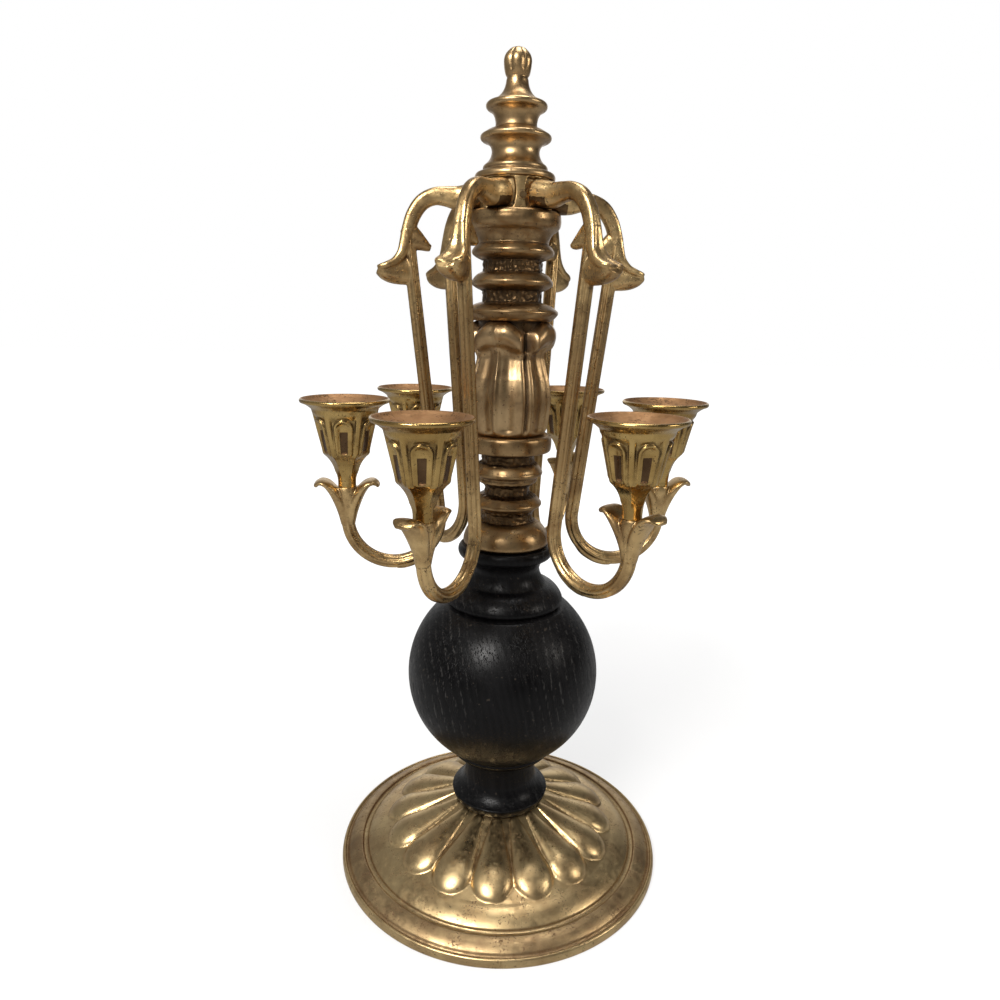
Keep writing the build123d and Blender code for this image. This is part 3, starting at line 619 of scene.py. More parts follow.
# Outlines are steps of (radius, rise from the step before, bulge)
base_steps = [
    (HOLLOW_RADIUS, 0, STRAIGHT),
    (RIM_RADIUS, 0, STRAIGHT),
    (RIM_RADIUS, 4.0, SLIGHT),
    (94.8, 1.2, SLIGHT),
    (93.6, -1.4, STRAIGHT),
    (92.2, 1.6, -SLIGHT),
    (84.2, 3.8, SOFT),
    (83.4, -1.5, STRAIGHT),
    (80.8, 0.4, -SLIGHT),
    (80.0, 1.7, SLIGHT),
    (DOME_FOOT, 5.4, SOFT),
    (DOME_EDGE, DOME_TOP - DOME_FOOT_Z, STRAIGHT),
    (SEAT_RADIUS, SEAT_STEP, STRAIGHT),
    (bore, 0, STRAIGHT),
    (bore, -WALL, STRAIGHT),
    (SEAT_RADIUS, 0, STRAIGHT),
    (DOME_FOOT - WALL, DOME_FOOT_Z - DOME_TOP - SEAT_STEP, STRAIGHT),
    (78.6, -5.4, STRAIGHT),
    (HOLLOW_RADIUS, -4.0, STRAIGHT),
]


def base_shape(radius, height, bearing):
    """Raise the lobes round the dome, each one the skin over a row of rounds that swell towards its tip"""
    pitch = 2 * math.pi / LOBES
    turn = (bearing - math.radians(LOBE_BEARING) + pitch / 2) % pitch - pitch / 2
    along = radius * np.cos(turn)
    aside = radius * np.sin(turn)
    crown = np.zeros_like(along)
    for share in np.linspace(0, 1, LOBE_ROUNDS):
        middle, size, rise = (1 - share) * np.array(LOBE_INNER) + share * np.array(LOBE_OUTER)
        inward = np.clip(1 - ((along - middle) ** 2 + aside**2) / size**2, 0, 1)
        crown = np.maximum(crown, rise * inward**LOBE_FULLNESS)
    line = DOME_TOP + (DOME_EDGE - radius) * DOME_SLOPE
    upper = (radius > SEAT_RADIUS + SEAT_MARGIN) & (radius < DOME_FOOT) & (height > line - WALL / 2)
    return radius, np.where(upper, np.maximum(height, line + crown), height)


def on_band(spot, normal):
    """1 on the flat band inside the rim, which is browner, and 0 elsewhere"""
    return int(BAND[0] < math.hypot(spot.x, spot.y) < BAND[1] and normal.z > 0)


base_loop = outline(base_steps, low_z("base_shell"))
base_mesh = revolved("base", base_loop, BASE_SIDES, base_shape)
dress(base_mesh, on_band, base_brass, band_brass)
show("base", base_mesh, base_brass, "stand", "polished_brass", "base_shell")

# Wood turning
TURNING_SIDES = 256
BALL_RISE = 88.78
BALL_BULGE = 22.3
wood_steps = [
    (25.6, 0, STRAIGHT),
    (29.0, 6.2, SOFT),
    (21.4, 9.6, -PLUMP),
    (21.4, 14.6, -SLIGHT),
    (27.6, 1.6, STRAIGHT),
    (31.5, 4.2, SLIGHT),
    (31.0, 1.2, STRAIGHT),
    (35.4, BALL_RISE, BALL_BULGE),
    (31.0, 1.0, STRAIGHT),
    (33.2, 1.0, STRAIGHT),
    (33.2, 2.8, SLIGHT),
    (23.6, 8.2, PLUMP),
    (19.6, 8.1, -SOFT),
    (25.5, 7.7, -PLUMP),
    (25.5, 6.5, PLUMP),
]
wood_loop = outline(wood_steps, low_z("wood_baluster"), bore)
wood_mesh = revolved("baluster", wood_loop, TURNING_SIDES)
show("baluster", wood_mesh, wood_finish, "stand", "ebonised_wood", "wood_baluster")

# Columns: turned rings on necks, where the necks are stippled
NECK_RADIUS = 16.0
NECK_EASE = 1.0
STIPPLE = 0.34
STIPPLE_SIZE = 2.6
lower_steps = [
    (22.3, 0, STRAIGHT),
    (24.1, 3.4, SOFT),
    (14.5, 11.1, DEEP),
    (14.5, 3.8, STRAIGHT),
    (18.8, 4.6, -SOFT),
    (18.8, 2.6, SOFT),
    (12.4, 4.6, SOFT),
    (12.4, 3.8, STRAIGHT),
    (16.3, 2.6, -SLIGHT),
    (16.3, 2.4, SLIGHT),
    (18.8, 1.6, -SLIGHT),
    (18.8, 2.6, SOFT),
    (14.5, 4.6, SOFT),
    (14.5, 3.8, STRAIGHT),
    (21.7, 2.2, -SLIGHT),
    (23.5, 1.8, SOFT),
    (23.5, 6.0, SLIGHT),
    (22.0, 1.5, SLIGHT),
]
upper_steps = [
    (20.5, 0, STRAIGHT),
    (24.0, 3.0, SLIGHT),
    (24.0, 2.6, SOFT),
    (15.5, 4.0, SOFT),
    (15.5, 5.6, STRAIGHT),
    (20.8, 2.6, SLIGHT),
    (20.8, 3.0, SOFT),
    (15.5, 4.0, SOFT),
    (15.5, 5.6, STRAIGHT),
    (20.8, 2.6, SLIGHT),
    (20.8, 3.0, SOFT),
    (18.2, 2.6, SLIGHT),
    (21.4, 6.0, -SOFT),
    (24.0, 2.4, SLIGHT),
    (24.3, 4.0, SLIGHT),
    (22.5, 3.0, SOFT),
]


def stippled(seed):
    """Roughen the necks of a column, as far as they lie below the rings"""
    def shape(radius, height, bearing):
        around = radius * np.sin(bearing), -radius * np.cos(bearing), height
        neck = 1 - smooth(NECK_RADIUS, NECK_RADIUS + NECK_EASE, radius)
        neck = neck * (radius > outer_skin)
        return radius + STIPPLE * neck * lumps(seed, STIPPLE_SIZE, *around), height
    return shape


def in_neck(spot, normal):
    """1 on the stippled necks, dark with tarnish and painted shade, and 0 elsewhere"""
    return int(outer_skin < math.hypot(spot.x, spot.y) < NECK_RADIUS)


COLUMNS = [
    ("lower_column", lower_steps, 3),
    ("upper_column", upper_steps, 4),
]
for name, steps, seed in COLUMNS:
    column_loop = outline(steps, low_z(name), bore)
    column_mesh = revolved(f"{name}_turning", column_loop, TURNING_SIDES, stippled(seed))
    dress(column_mesh, in_neck, column_brass, neck_brass)
    show(f"{name}_turning", column_mesh, column_brass, "stand", "aged_brass", name)

# Leaf vase: four leaves with midribs, flutes and borders, parted by grooves, and rolled tops
VASE_SIDES = 384
LEAVES = 4
LEAF_BEARING = 24.5
ROLL_CORE = 17.4
ROLL_DROP = 5.5
ROLL_BULGE = 3.6
ROLL_RIB = 0.4
CORE_RISE = 45
CORE_MARGIN = 0.5
TOP_MARGIN = 0.1

# Relief across half a leaf, as (place, width, height), with place and width as shares of the half
LEAF_RIB = (0, 0.07, 1.0)
LEAF_FLUTE = (0.4, 0.22, -1.5)
LEAF_BORDER = (0.84, 0.09, 0.5)
LEAF_GROOVE = (1, 0.055, -1.8)

# Where forms begin and are full: heights above the foot of the vase, and shares of half a leaf
BODY_RISE = (1, 5)
HANG_RISE = (38, 48)
ROLL_RISE = (44, 49)
HANG_SPAN = (0.25, 1.0)
NOTCH_SPAN = (0.7, 1.0)
vase_foot = low_z("leaf_vase")
vase_steps = [
    (18.5, 0, STRAIGHT),
    (21.0, 4.5, SOFT),
    (22.6, 14.0, SLIGHT),
    (21.0, 12.3, SLIGHT),
    (18.2, 10.2, -SLIGHT),
    (20.2, 6.0, -SOFT),
    (20.8, 12.0, ROLL_BULGE),
    (19.0, 1.0, STRAIGHT),
]
vase_loop = outline(vase_steps, vase_foot, bore)
vase_top = high_z("leaf_vase") - vase_foot - TOP_MARGIN
vase_wall = vase_loop[(vase_loop[:, 0] > outer_skin) & (vase_loop[:, 1] < vase_foot + vase_top)]
vase_wall = vase_wall[np.argsort(vase_wall[:, 1])]


def ridge(aside, place, width, height):
    """A rounded ridge, or a groove where its height is negative"""
    return height * np.exp(-((aside - place) / width) ** 2)


def leaf_shape(radius, height, bearing):
    """Part the vase into leaves with relief, whose rolled tops hang lower at their edges"""
    pitch = 2 * math.pi / LEAVES
    turn = (bearing - math.radians(LEAF_BEARING)) % pitch - pitch / 2
    aside = np.abs(turn) / (pitch / 2)
    rise = height - vase_foot
    drop = ROLL_DROP * smooth(*HANG_SPAN, aside) * smooth(*HANG_RISE, rise)
    lowered = np.interp(rise + drop, vase_wall[:, 1] - vase_foot, vase_wall[:, 0], right=ROLL_CORE)
    roll = smooth(*ROLL_RISE, rise + drop)
    body = smooth(*BODY_RISE, rise) * (1 - roll)
    rib = ridge(aside, *LEAF_RIB)
    relief = rib + ridge(aside, *LEAF_FLUTE) + ridge(aside, *LEAF_BORDER) + ridge(aside, *LEAF_GROOVE)
    notch = -np.clip(lowered - ROLL_CORE, 0, None) * smooth(*NOTCH_SPAN, aside)
    move = body * relief + roll * (notch + ROLL_RIB * rib)
    outer = (radius > outer_skin) & (rise < vase_top)
    return np.where(outer, lowered + move, radius), height


def in_core(spot, normal):
    """1 on the core between the rolled tops, painted dark there as shade, and 0 elsewhere"""
    return int(math.hypot(spot.x, spot.y) < ROLL_CORE + CORE_MARGIN and spot.z > vase_foot + CORE_RISE)


vase_mesh = revolved("vase", vase_loop, VASE_SIDES, leaf_shape)
dress(vase_mesh, in_core, vase_brass, neck_brass)
show("vase", vase_mesh, vase_brass, "stand", "aged_brass", "leaf_vase")

# Finial: stepped foot, two rings, flared stalk and a lobed bud
FINIAL_SIDES = 192
BUD_LOBES = 6
BUD_RISE = (48.6, 51.5)
BUD_DEPTH = 0.12
BUD_ROUNDNESS = 0.7
BUD_BULGE = 0.5
BUD_SHOULDER = 0.9
THREAD_DEPTH = 14.0
THREAD_GAP = 0.08
finial_bore = rod_radius + THREAD_GAP
finial_foot = low_z("finial")
finial_steps = [
    (0, THREAD_DEPTH, STRAIGHT),
    (finial_bore, 0, STRAIGHT),
    (finial_bore, -THREAD_DEPTH, STRAIGHT),
    (20.2, 0, STRAIGHT),
    (19.6, 3.4, SOFT),
    (16.1, 1.2, STRAIGHT),
    (15.5, 2.8, SOFT),
    (12.1, 5.6, -SOFT),
    (16.6, 5.6, -PLUMP),
    (16.6, 3.2, PLUMP),
    (10.7, 2.8, SLIGHT),
    (10.7, 4.0, -SLIGHT),
    (14.0, 4.4, -SOFT),
    (14.0, 3.4, PLUMP),
    (5.5, 10.6, -DEEP),
    (5.0, 0.6, STRAIGHT),
    (7.2, 5.6, BUD_BULGE),
    (5.2, 6.0, BUD_SHOULDER),
    (0, 2.2, SOFT),
]


def bud_shape(radius, height, bearing):
    """Part the bud into lobes"""
    bud = smooth(*BUD_RISE, height - finial_foot)
    valley = 1 - np.abs(np.cos(BUD_LOBES / 2 * bearing)) ** BUD_ROUNDNESS
    return radius * (1 - BUD_DEPTH * bud * valley), height


finial_loop = outline(finial_steps, finial_foot)
finial_mesh = revolved("finial_turning", finial_loop, FINIAL_SIDES, bud_shape, closed=False)
show("finial_turning", finial_mesh, finial_brass, "finial", "aged_brass", "finial")

# Hub: a hollow ring with a waisted facet between each two arms
HUB_SIDES = 360
HUB_RADIUS = 19.5
HUB_SKIN = 1.0
HUB_WALL = 6.0
HUB_FLOOR = 3.4
hub_foot = low_z("arm_hub")
hub_height = high_z("arm_hub") - hub_foot
hub_steps = [
    (HUB_RADIUS, 0, STRAIGHT),
    (HUB_RADIUS, hub_height, STRAIGHT),
    (HUB_RADIUS - HUB_WALL, 0, STRAIGHT),
    (HUB_RADIUS - HUB_WALL, HUB_FLOOR - hub_height, STRAIGHT),
    (finial_bore, 0, STRAIGHT),
    (finial_bore, -HUB_FLOOR, STRAIGHT),
]
FACET_HALF = math.radians(6.0)
FACET_FLARE = math.radians(4.0)
FACET_EASE = math.radians(2.5)
FACET_ENDS = (0.8, 0.98)
FACET_STEP = 1.6
bearings = sorted((turn + math.pi / 2) % (2 * math.pi) for turn in arm_turns)
facet_bearings = [(start + (end - start) % (2 * math.pi) / 2) % (2 * math.pi)
                  for start, end in zip(bearings, bearings[1:] + bearings[:1])]


def hub_shape(radius, height, bearing):
    """Leave a waisted facet standing between each two arms"""
    level = 2 * (height - hub_foot) / hub_height - 1
    half = FACET_HALF + FACET_FLARE * level**2
    turns = [np.abs((bearing - place + math.pi) % (2 * math.pi) - math.pi) for place in facet_bearings]
    away = np.min(turns, 0)
    sunk = smooth(half, half + FACET_EASE, away) * (1 - smooth(*FACET_ENDS, np.abs(level)))
    return radius - FACET_STEP * sunk * (radius > HUB_RADIUS - HUB_SKIN), height


hub_loop = outline(hub_steps, hub_foot)
hub_mesh = revolved("hub", hub_loop, HUB_SIDES, hub_shape)
show("hub", hub_mesh, arm_brass, "arm_cluster", "aged_brass", "arm_hub")

# Arms: strap over the arch into a scooped lip on a bowl, inner leaf, reeded stem, loop, petals and spur
ARM_VOXEL = 0.42
ROOT_REACH = 27.0
UNDERSIDE = -0.1
STEM_RADIUS = 3.85
REEDS = 6
REED_DEPTH = 1.15
REED_ROUNDNESS = 0.7
STEM_TOP = (54.6, 363.3)
LEAN = math.radians(6.5)
LOOP_BOTTOM = 186.7
cup_seat = low_z("candle_cup_1")

# How square the sections are, from 2 for an ellipse, and how deep the channel of the strap is
STRAP_FULLNESS = 2.8
LEAF_FULLNESS = 2.2
CALYX_FULLNESS = 2.0
STRAP_CHANNEL = 1.9

# Stations along each bar are (x, z, width, thickness), and those of the petal start from the cup's seat
STRAP = [
    (18.6, 380.6, 15.4, 14.0),
    (23.5, 379.8, 13.0, 13.0),
    (29.0, 379.4, 9.6, 11.6),
    (35.0, 380.0, 7.8, 9.6),
    (41.0, 379.8, 7.0, 8.4),
    (47.0, 376.8, 6.9, 8.0),
    (51.4, 370.8, 6.9, 7.8),
    (54.0, 363.6, 7.2, 7.6),
    (55.6, 357.0, 8.0, 7.2),
    (57.4, 351.8, 9.6, 6.4),
    (60.8, 347.8, 12.0, 5.6),
    (64.8, 345.8, 13.8, 5.0),
    (67.8, 344.8, 12.8, 4.6),
    (69.6, 344.2, 10.2, 4.0),
]
BOWL = [
    (52.0, 345.0, 6.8, 14.0),
    (55.4, 343.8, 8.0, 15.0),
    (59.5, 342.8, 10.0, 12.8),
    (63.4, 342.4, 11.4, 10.6),
    (66.4, 342.6, 11.6, 8.2),
    (68.4, 343.2, 10.6, 6.0),
    (69.6, 343.8, 9.4, 4.4),
]
INNER_LEAF = [
    (53.8, 360.0, 6.6, 14.4),
    (50.2, 358.4, 6.6, 10.8),
    (47.0, 356.8, 6.4, 7.2),
    (44.4, 355.4, 6.0, 4.6),
    (42.6, 354.8, 5.0, 3.0),
]
PETAL = [
    (0.8, -21.0, 6.6, 6.0),
    (2.2, -14.0, 8.4, 6.6),
    (4.4, -7.6, 11.4, 6.6),
    (7.4, -2.2, 14.0, 5.6),
    (10.6, 1.4, 15.0, 4.4),
    (13.6, 2.6, 14.2, 3.4),
    (15.8, 1.8, 11.6, 2.8),
    (17.0, 0.2, 7.6, 2.2),
]
SPUR = [
    (37.4, 203.6, 3.6, 2.2),
    (43.0, 192.6, 5.0, 3.0),
    (50.2, 186.8, 5.0, 3.0),
    (56.6, 184.2, 4.4, 2.6),
    (61.4, 183.2, 2.6, 1.6),
]
CALYX = [
    (cup_axis, cup_seat - 16.0, 7.6, 7.6),
    (cup_axis, cup_seat - 8.0, 9.6, 10.0),
    (cup_axis, cup_seat - 3.0, 11.0, 12.0),
    (cup_axis, cup_seat, 10.4, 11.0),
]


def stem_path(count=420):
    """Points down the leaning stem, round the loop and up to the cup, with their headings"""
    reach = cup_axis - STEM_TOP[0]
    share = (1 + math.sin(LEAN)) / (1 + math.cos(LEAN))
    length = (STEM_TOP[1] - LOOP_BOTTOM - share * reach) / (math.cos(LEAN) + share * math.sin(LEAN))
    loop = (reach + length * math.sin(LEAN)) / (1 + math.cos(LEAN))
    rise = cup_seat - LOOP_BOTTOM - loop
    turn = math.pi + LEAN
    places = np.linspace(0, length + loop * turn + rise, count)
    angle = np.clip((places - length) / loop, 0, turn) - math.pi / 2 - LEAN
    heading = np.stack([np.cos(angle), np.sin(angle)], 1)
    steps = np.diff(places)[:, None] * (heading[1:] + heading[:-1]) / 2
    points = np.concatenate([[STEM_TOP], STEM_TOP + np.cumsum(steps, 0)])
    return points, heading


def reeded_stem(sides=72):
    """Points and faces of the reeded stem along its path"""
    points, heading = stem_path()
    turn = np.linspace(0, 2 * math.pi, sides, endpoint=False)
    radius = STEM_RADIUS - REED_DEPTH * (1 - np.abs(np.cos(REEDS / 2 * turn)) ** REED_ROUNDNESS)
    left = np.stack([-heading[:, 1], heading[:, 0]], 1)
    depth = radius * np.sin(turn)
    spots = np.stack([points[:, :1] + left[:, :1] * depth, radius * np.cos(turn) + 0 * points[:, :1],
                      points[:, 1:] + left[:, 1:] * depth], -1)
    ends = np.repeat(spots[[0, -1]].mean(1)[:, None, :], sides, 1)
    spots = np.concatenate([ends[:1], spots, ends[1:]])
    return spots.reshape(-1, 3), grid_faces(len(points) + 2, sides, False, True)


def petal(side):
    """Points and faces of one calyx leaf, on the given side of the cup's axis"""
    stations = [(cup_axis + side * x, cup_seat + z, width, depth) for x, z, width, depth in PETAL]
    return cast_bar(stations, LEAF_FULLNESS)


def arm_shaded_underside(spot, normal):
    """1 on the rough underside of the root, painted dark there as shade, and 0 elsewhere"""
    return int(spot.x < ROOT_REACH and normal.z < UNDERSIDE)


arm_shells = [
    cast_bar(STRAP, STRAP_FULLNESS, channel=STRAP_CHANNEL),
    cast_bar(BOWL, LEAF_FULLNESS),
    cast_bar(INNER_LEAF, LEAF_FULLNESS),
    reeded_stem(),
    petal(1),
    petal(-1),
    cast_bar(SPUR, LEAF_FULLNESS),
    cast_bar(CALYX, CALYX_FULLNESS),
]
arm_mesh = fused("arm", arm_shells, ARM_VOXEL)
dress(arm_mesh, arm_shaded_underside, arm_brass, neck_brass)
show_round("arm_casting", arm_mesh, "arm", "aged_brass")

# Candle cups: faceted cone, wall with arched panels, thin rim, dish and candle hole
CUP_SIDES = 288
PANELS = 6
PANEL_PITCH = 2 * math.pi / PANELS
PANEL_HALF = 7.6
CUP_SHOULDER = 12.9
CUP_THROAT = 17.5
CUP_RIM = 23.5
FLOOR_RISE = 21.5
THROAT_RISE = FLOOR_RISE + candle_depth
RECESS = (4.1, 3.0)
SCREW_HOLE = 2.1
cup_steps = [
    (4.8, 0, STRAIGHT),
    (4.8, 2.4, STRAIGHT),
    (6.0, 6.1, -SLIGHT),
    (CUP_SHOULDER - 2.4, 8.3, -SOFT),
    (CUP_SHOULDER - 0.3, 3.0, SLIGHT),
    (CUP_SHOULDER, 1.7, STRAIGHT),
    (CUP_THROAT, candle_depth, STRAIGHT),
    (CUP_THROAT + 1.2, 1.8, -SLIGHT),
    (CUP_RIM - 0.3, 2.5, -SLIGHT),
    (CUP_RIM, 0.6, SLIGHT),
    (CUP_RIM, 1.2, SLIGHT),
    (CUP_RIM - 0.4, 0.4, STRAIGHT),
    (CUP_RIM - 1.1, 0, STRAIGHT),
    (CUP_RIM - 2.8, -1.7, STRAIGHT),
    (candle_radius, -4.8, STRAIGHT),
    (candle_radius, -candle_depth, STRAIGHT),
    (RECESS[0], 0, STRAIGHT),
    (RECESS[0], -RECESS[1], STRAIGHT),
    (SCREW_HOLE, 0, STRAIGHT),
    (SCREW_HOLE, RECESS[1] - FLOOR_RISE, STRAIGHT),
]

# Forms of a panel as (half width, foot, head), where the head of an arch or niche is its spring
ARCH = (4.8, 17.0, 33.0)
NICHE = (3.7, 19.2, 33.0)
SLOT = (2.1, 19.6, 31.4)
SPANDREL = (6.3, 18.2, 41.0)

# Depth of each form at the floor of the candle hole, and its growth up to the throat
SPANDREL_DEPTH = (0.5, 1.3)
NICHE_DEPTH = (1.0, 1.4)
SLOT_DEPTH = (0.3, 0.5)

# Distances from the edge of a form over which it eases in
SPANDREL_EDGE = (-0.5, 0.3)
ARCH_EDGE = (-0.3, 0.5)
SLOT_EDGE = (-0.2, 0.2)
SPANDREL_FADE = 3.5
NICHE_EASE = 0.6
NICHE_ROUNDNESS = 0.7

# Which points belong to the outer wall and to the cone under it
WALL_FOOT = 17.8
WALL_MARGIN = 0.6
CORE_CLEAR = 4.0
HOLE_CLEAR = 0.8
HOLE_LEAN = 0.1
LEAST_WALL = 0.3
CONE_FOOT = (4, 9)
CONE_HEAD = (17.5, 20.5)
CONE_SKIN = 4.5
CONE_SHARE = 0.95

# Edges of the brown finish in the dish and the candle hole
FINISH_MARGIN = 0.2
DISH_SLOPE = 0.2
DISH_EDGE = 0.7


def panel_turn(bearing):
    """Bearing from the middle of the nearest panel"""
    return (bearing - math.pi / 2) % PANEL_PITCH - PANEL_PITCH / 2


def panel_aside(bearing):
    """Distance from the middle line of the nearest panel"""
    return np.abs(panel_turn(bearing)) / (PANEL_PITCH / 2) * PANEL_HALF


def arch_distance(aside, rise, arch):
    """Distance outside an arch of (half width, foot, spring), negative inside"""
    half, foot, spring = arch
    head = np.hypot(aside, np.clip(rise - spring, 0, None)) - half
    return np.maximum(head, foot - rise)


def slot_distance(aside, rise):
    """Distance outside the square slot in a niche, negative inside"""
    half, foot, head = SLOT
    return np.maximum(aside - half, np.maximum(rise - head, foot - rise))


def cup_shape(radius, height, bearing):
    """Cut the panels into the wall, each with a raised arch round a hollow niche, and facet the cone"""
    rise = height - cup_seat
    turn = panel_turn(bearing)
    aside = panel_aside(bearing)
    hole_side = candle_radius + HOLE_CLEAR + (rise - FLOOR_RISE) * HOLE_LEAN
    middle = np.where(rise < FLOOR_RISE, RECESS[0] + CORE_CLEAR, hole_side)
    wall = (radius > middle) & (rise > WALL_FOOT) & (rise < THROAT_RISE + WALL_MARGIN)
    deeper = smooth(FLOOR_RISE, THROAT_RISE, rise)
    corner = np.maximum(aside - SPANDREL[0], np.maximum(rise - SPANDREL[2], SPANDREL[1] - rise))
    sunk = (1 - smooth(*SPANDREL_EDGE, corner)) * smooth(*ARCH_EDGE, arch_distance(aside, rise, ARCH))
    sunk = sunk * (1 - smooth(ARCH[2] + SPANDREL_FADE, SPANDREL[2], rise))
    across = np.hypot(aside, np.clip(rise - NICHE[2], 0, None)) / NICHE[0]
    hollow = np.clip(1 - across**2, 0, 1) ** NICHE_ROUNDNESS
    hollow = hollow * smooth(NICHE[1] - NICHE_EASE, NICHE[1] + NICHE_EASE, rise)
    slot = 1 - smooth(*SLOT_EDGE, slot_distance(aside, rise))
    cut = (SPANDREL_DEPTH[0] + SPANDREL_DEPTH[1] * deeper) * sunk
    cut = cut + (NICHE_DEPTH[0] + NICHE_DEPTH[1] * deeper) * hollow
    cut = cut + (SLOT_DEPTH[0] + SLOT_DEPTH[1] * deeper) * slot
    facet = math.cos(PANEL_PITCH / 2) / np.cos(turn)
    cone = smooth(*CONE_FOOT, rise) * (1 - smooth(*CONE_HEAD, rise)) * (radius > CONE_SKIN)
    least = np.where(rise < FLOOR_RISE, 0, candle_radius + LEAST_WALL)
    shaped = radius * (1 + cone * (facet - CONE_SHARE)) - np.where(wall, cut, 0)
    return np.where(wall, np.maximum(shaped, least), shaped), height


def cup_finish_and_slot_shade(spot, normal):
    """0 on the polished outside, 1 in the brown dish and candle hole, 2 in the slots, painted near black as
    shade
    """
    rise = spot.z - cup_seat
    reach = math.hypot(spot.x, spot.y)
    hole = reach < candle_radius + FINISH_MARGIN and rise > FLOOR_RISE - RECESS[1] - FINISH_MARGIN
    dish = normal.z > DISH_SLOPE and rise > THROAT_RISE - FINISH_MARGIN and reach < CUP_RIM - DISH_EDGE
    if hole or dish:
        return 1
    aside = panel_aside(math.atan2(spot.x, -spot.y))
    return 2 if slot_distance(aside, rise) < 0 else 0


cup_loop = outline(cup_steps, cup_seat)
cup_mesh = revolved("cup", cup_loop, CUP_SIDES, cup_shape)
dress(cup_mesh, cup_finish_and_slot_shade, cup_brass, dish_brass, niche_brass)
cup_mesh.transform(Matrix.Translation((cup_axis * MM, 0, 0)))
show_round("cup", cup_mesh, "candle_cup", "polished_brass")

# Small hardware keeps its own solids
for name in ("base_washer", "base_nut", "tie_rod", "arm_screws", "cup_screws", "hub_side_screw"):
    solid_node = frame["nodes"][name]
    solid_node.data.materials.clear()
    solid_node.data.materials.append(column_brass if name == "hub_side_screw" else steel_finish)

# Stage, in metres: pale floor, white surround, soft lamps and the camera of the photograph
WHITE = (1, 1, 1, 1)
FLOOR_HALF = 6.0
FLOOR_SHINE = 0.12
FLOOR_TONE = (0.36, 0.36, 0.36, 1)
FLOOR_ROUGHNESS = 0.9
FLOOR_FADE = (0.15, 0.9)
FLOOR_GLOW = (0.64, 1.0)
floor_corners = [(x * FLOOR_HALF, y * FLOOR_HALF, 0) for x, y in ((-1, -1), (1, -1), (1, 1), (-1, 1))]
floor_mesh = bpy.data.meshes.new("floor")
floor_mesh.from_pydata(floor_corners, [], [(0, 1, 2, 3)])
floor = link("floor", floor_mesh)
floor_finish, floor_tree, floor_shader = new_material("floor")
floor_shader.inputs["Base Color"].default_value = FLOOR_TONE
floor_shader.inputs["Roughness"].default_value = FLOOR_ROUGHNESS
floor_shader.inputs["Specular IOR Level"].default_value = 0.0
floor_shader.inputs["Emission Color"].default_value = WHITE
light_path = node(floor_tree, "LightPath")
floor_place = node(floor_tree, "TexCoord").outputs["Object"]
floor_reach = node(floor_tree, "VectorMath", {0: floor_place}, operation="LENGTH").outputs["Value"]
floor_white = remap(floor_tree, floor_reach, *FLOOR_FADE, *FLOOR_GLOW)
floor_seen = maths(floor_tree, "MAXIMUM", light_path.outputs["Is Camera Ray"],
                   light_path.outputs["Is Transmission Ray"])
floor_shine = maths(floor_tree, "MULTIPLY", light_path.outputs["Is Glossy Ray"], FLOOR_SHINE)
floor_glow = maths(floor_tree, "MULTIPLY", maths(floor_tree, "MAXIMUM", floor_seen, floor_shine), floor_white)
floor_tree.links.new(floor_glow, floor_shader.inputs["Emission Strength"])
floor_mesh.materials.append(floor_finish)

# Surround: white to the camera, dim to the metal, with a bright backdrop and a shaded right side
ROOM_LEVEL = 0.26
SHADE_LEVEL = 0.09
BACKDROP_SPAN = (0.65, 0.95)
SHADE_SPAN = (0.05, 0.65)
world = bpy.data.worlds.new("surround")
bpy.context.scene.world = world
world.use_nodes = True
sky_tree = world.node_tree
sky = sky_tree.nodes["Background"]
sky_path = node(sky_tree, "LightPath")
seen = maths(sky_tree, "MAXIMUM", sky_path.outputs["Is Camera Ray"], sky_path.outputs["Is Transmission Ray"])
heading = node(sky_tree, "SeparateXYZ", {0: node(sky_tree, "TexCoord").outputs["Generated"]})
backdrop = remap(sky_tree, heading.outputs["Y"], *BACKDROP_SPAN)
shaded = remap(sky_tree, heading.outputs["X"], *SHADE_SPAN, ROOM_LEVEL, SHADE_LEVEL)
mirrored = sky_path.outputs["Is Glossy Ray"]
glossy = maths(sky_tree, "MULTIPLY", mirrored, maths(sky_tree, "MAXIMUM", backdrop, shaded))
plain = maths(sky_tree, "SUBTRACT", 1.0, mirrored)
level = maths(sky_tree, "ADD", glossy, maths(sky_tree, "MULTIPLY", plain, ROOM_LEVEL))
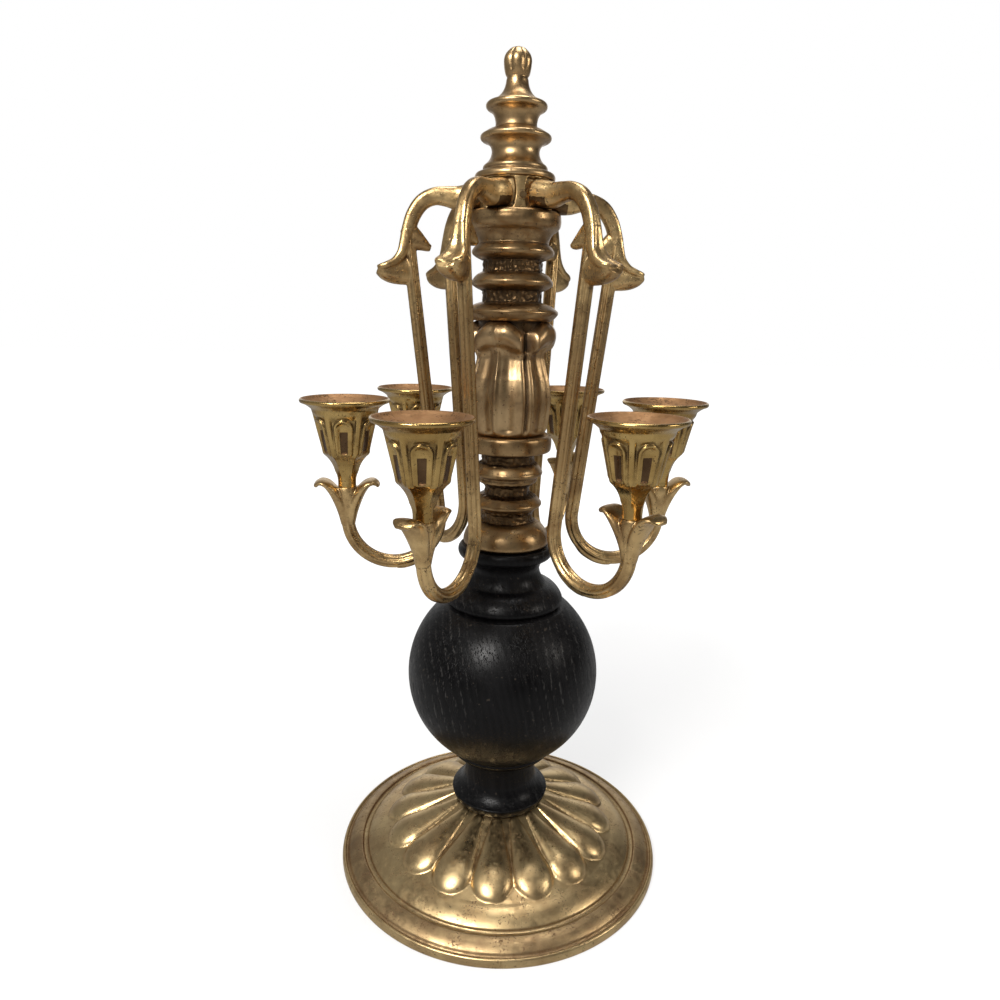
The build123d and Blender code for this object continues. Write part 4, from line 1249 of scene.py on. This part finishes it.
sky_tree.links.new(maths(sky_tree, "MAXIMUM", seen, level), sky.inputs["Strength"])
sky.inputs["Color"].default_value = WHITE


def lamp(name, place, aim, size, power, colour=(1, 1, 1)):
    """A soft area lamp at a place in metres, aimed at a point"""
    light = bpy.data.lights.new(name, "AREA")
    light.shape = "DISK"
    light.size = size
    light.energy = power
    light.color = colour
    made = bpy.data.objects.new(name, light)
    bpy.context.scene.collection.objects.link(made)
    made.location = place
    made.rotation_euler = (Vector(aim) - Vector(place)).to_track_quat("-Z", "Y").to_euler()


lamp("key", place=(-0.55, -1.0, 1.15), aim=(0, 0, 0.2), size=0.6, power=20, colour=(1.0, 0.98, 0.95))
lamp("side", place=(1.1, -0.35, 0.7), aim=(0, 0, 0.25), size=0.4, power=3, colour=(1.0, 0.95, 0.88))
lamp("top", place=(0.1, 0.15, 1.5), aim=(0, 0, 0.2), size=0.6, power=8)

# Camera: its place is in millimetres, and the focal length is a share of the picture's width
FOCAL_SHARE = 0.735
SENSOR = 36.0
CLIP_START = 0.01
CAMERA_PLACE = (-3.8, -402.0, 319.4)
CAMERA_PITCH = math.radians(13.68)
CAMERA_ROLL = math.radians(1.34)
ahead = Vector((0, math.cos(CAMERA_PITCH), -math.sin(CAMERA_PITCH)))
up = Vector((0, math.sin(CAMERA_PITCH), math.cos(CAMERA_PITCH)))
right = Vector((1, 0, 0))
rolled_right = right * math.cos(CAMERA_ROLL) + up * math.sin(CAMERA_ROLL)
rolled_up = up * math.cos(CAMERA_ROLL) - right * math.sin(CAMERA_ROLL)
camera_data = bpy.data.cameras.new("camera")
camera_data.sensor_width = SENSOR
camera_data.lens = FOCAL_SHARE * SENSOR
camera_data.clip_start = CLIP_START
camera = bpy.data.objects.new("camera", camera_data)
bpy.context.scene.collection.objects.link(camera)
facing = Matrix((rolled_right, rolled_up, -ahead)).transposed().to_4x4()
camera.matrix_world = Matrix.Translation(Vector(CAMERA_PLACE) * MM) @ facing
bpy.context.scene.camera = camera
bpy.context.scene.view_settings.view_transform = "Standard"
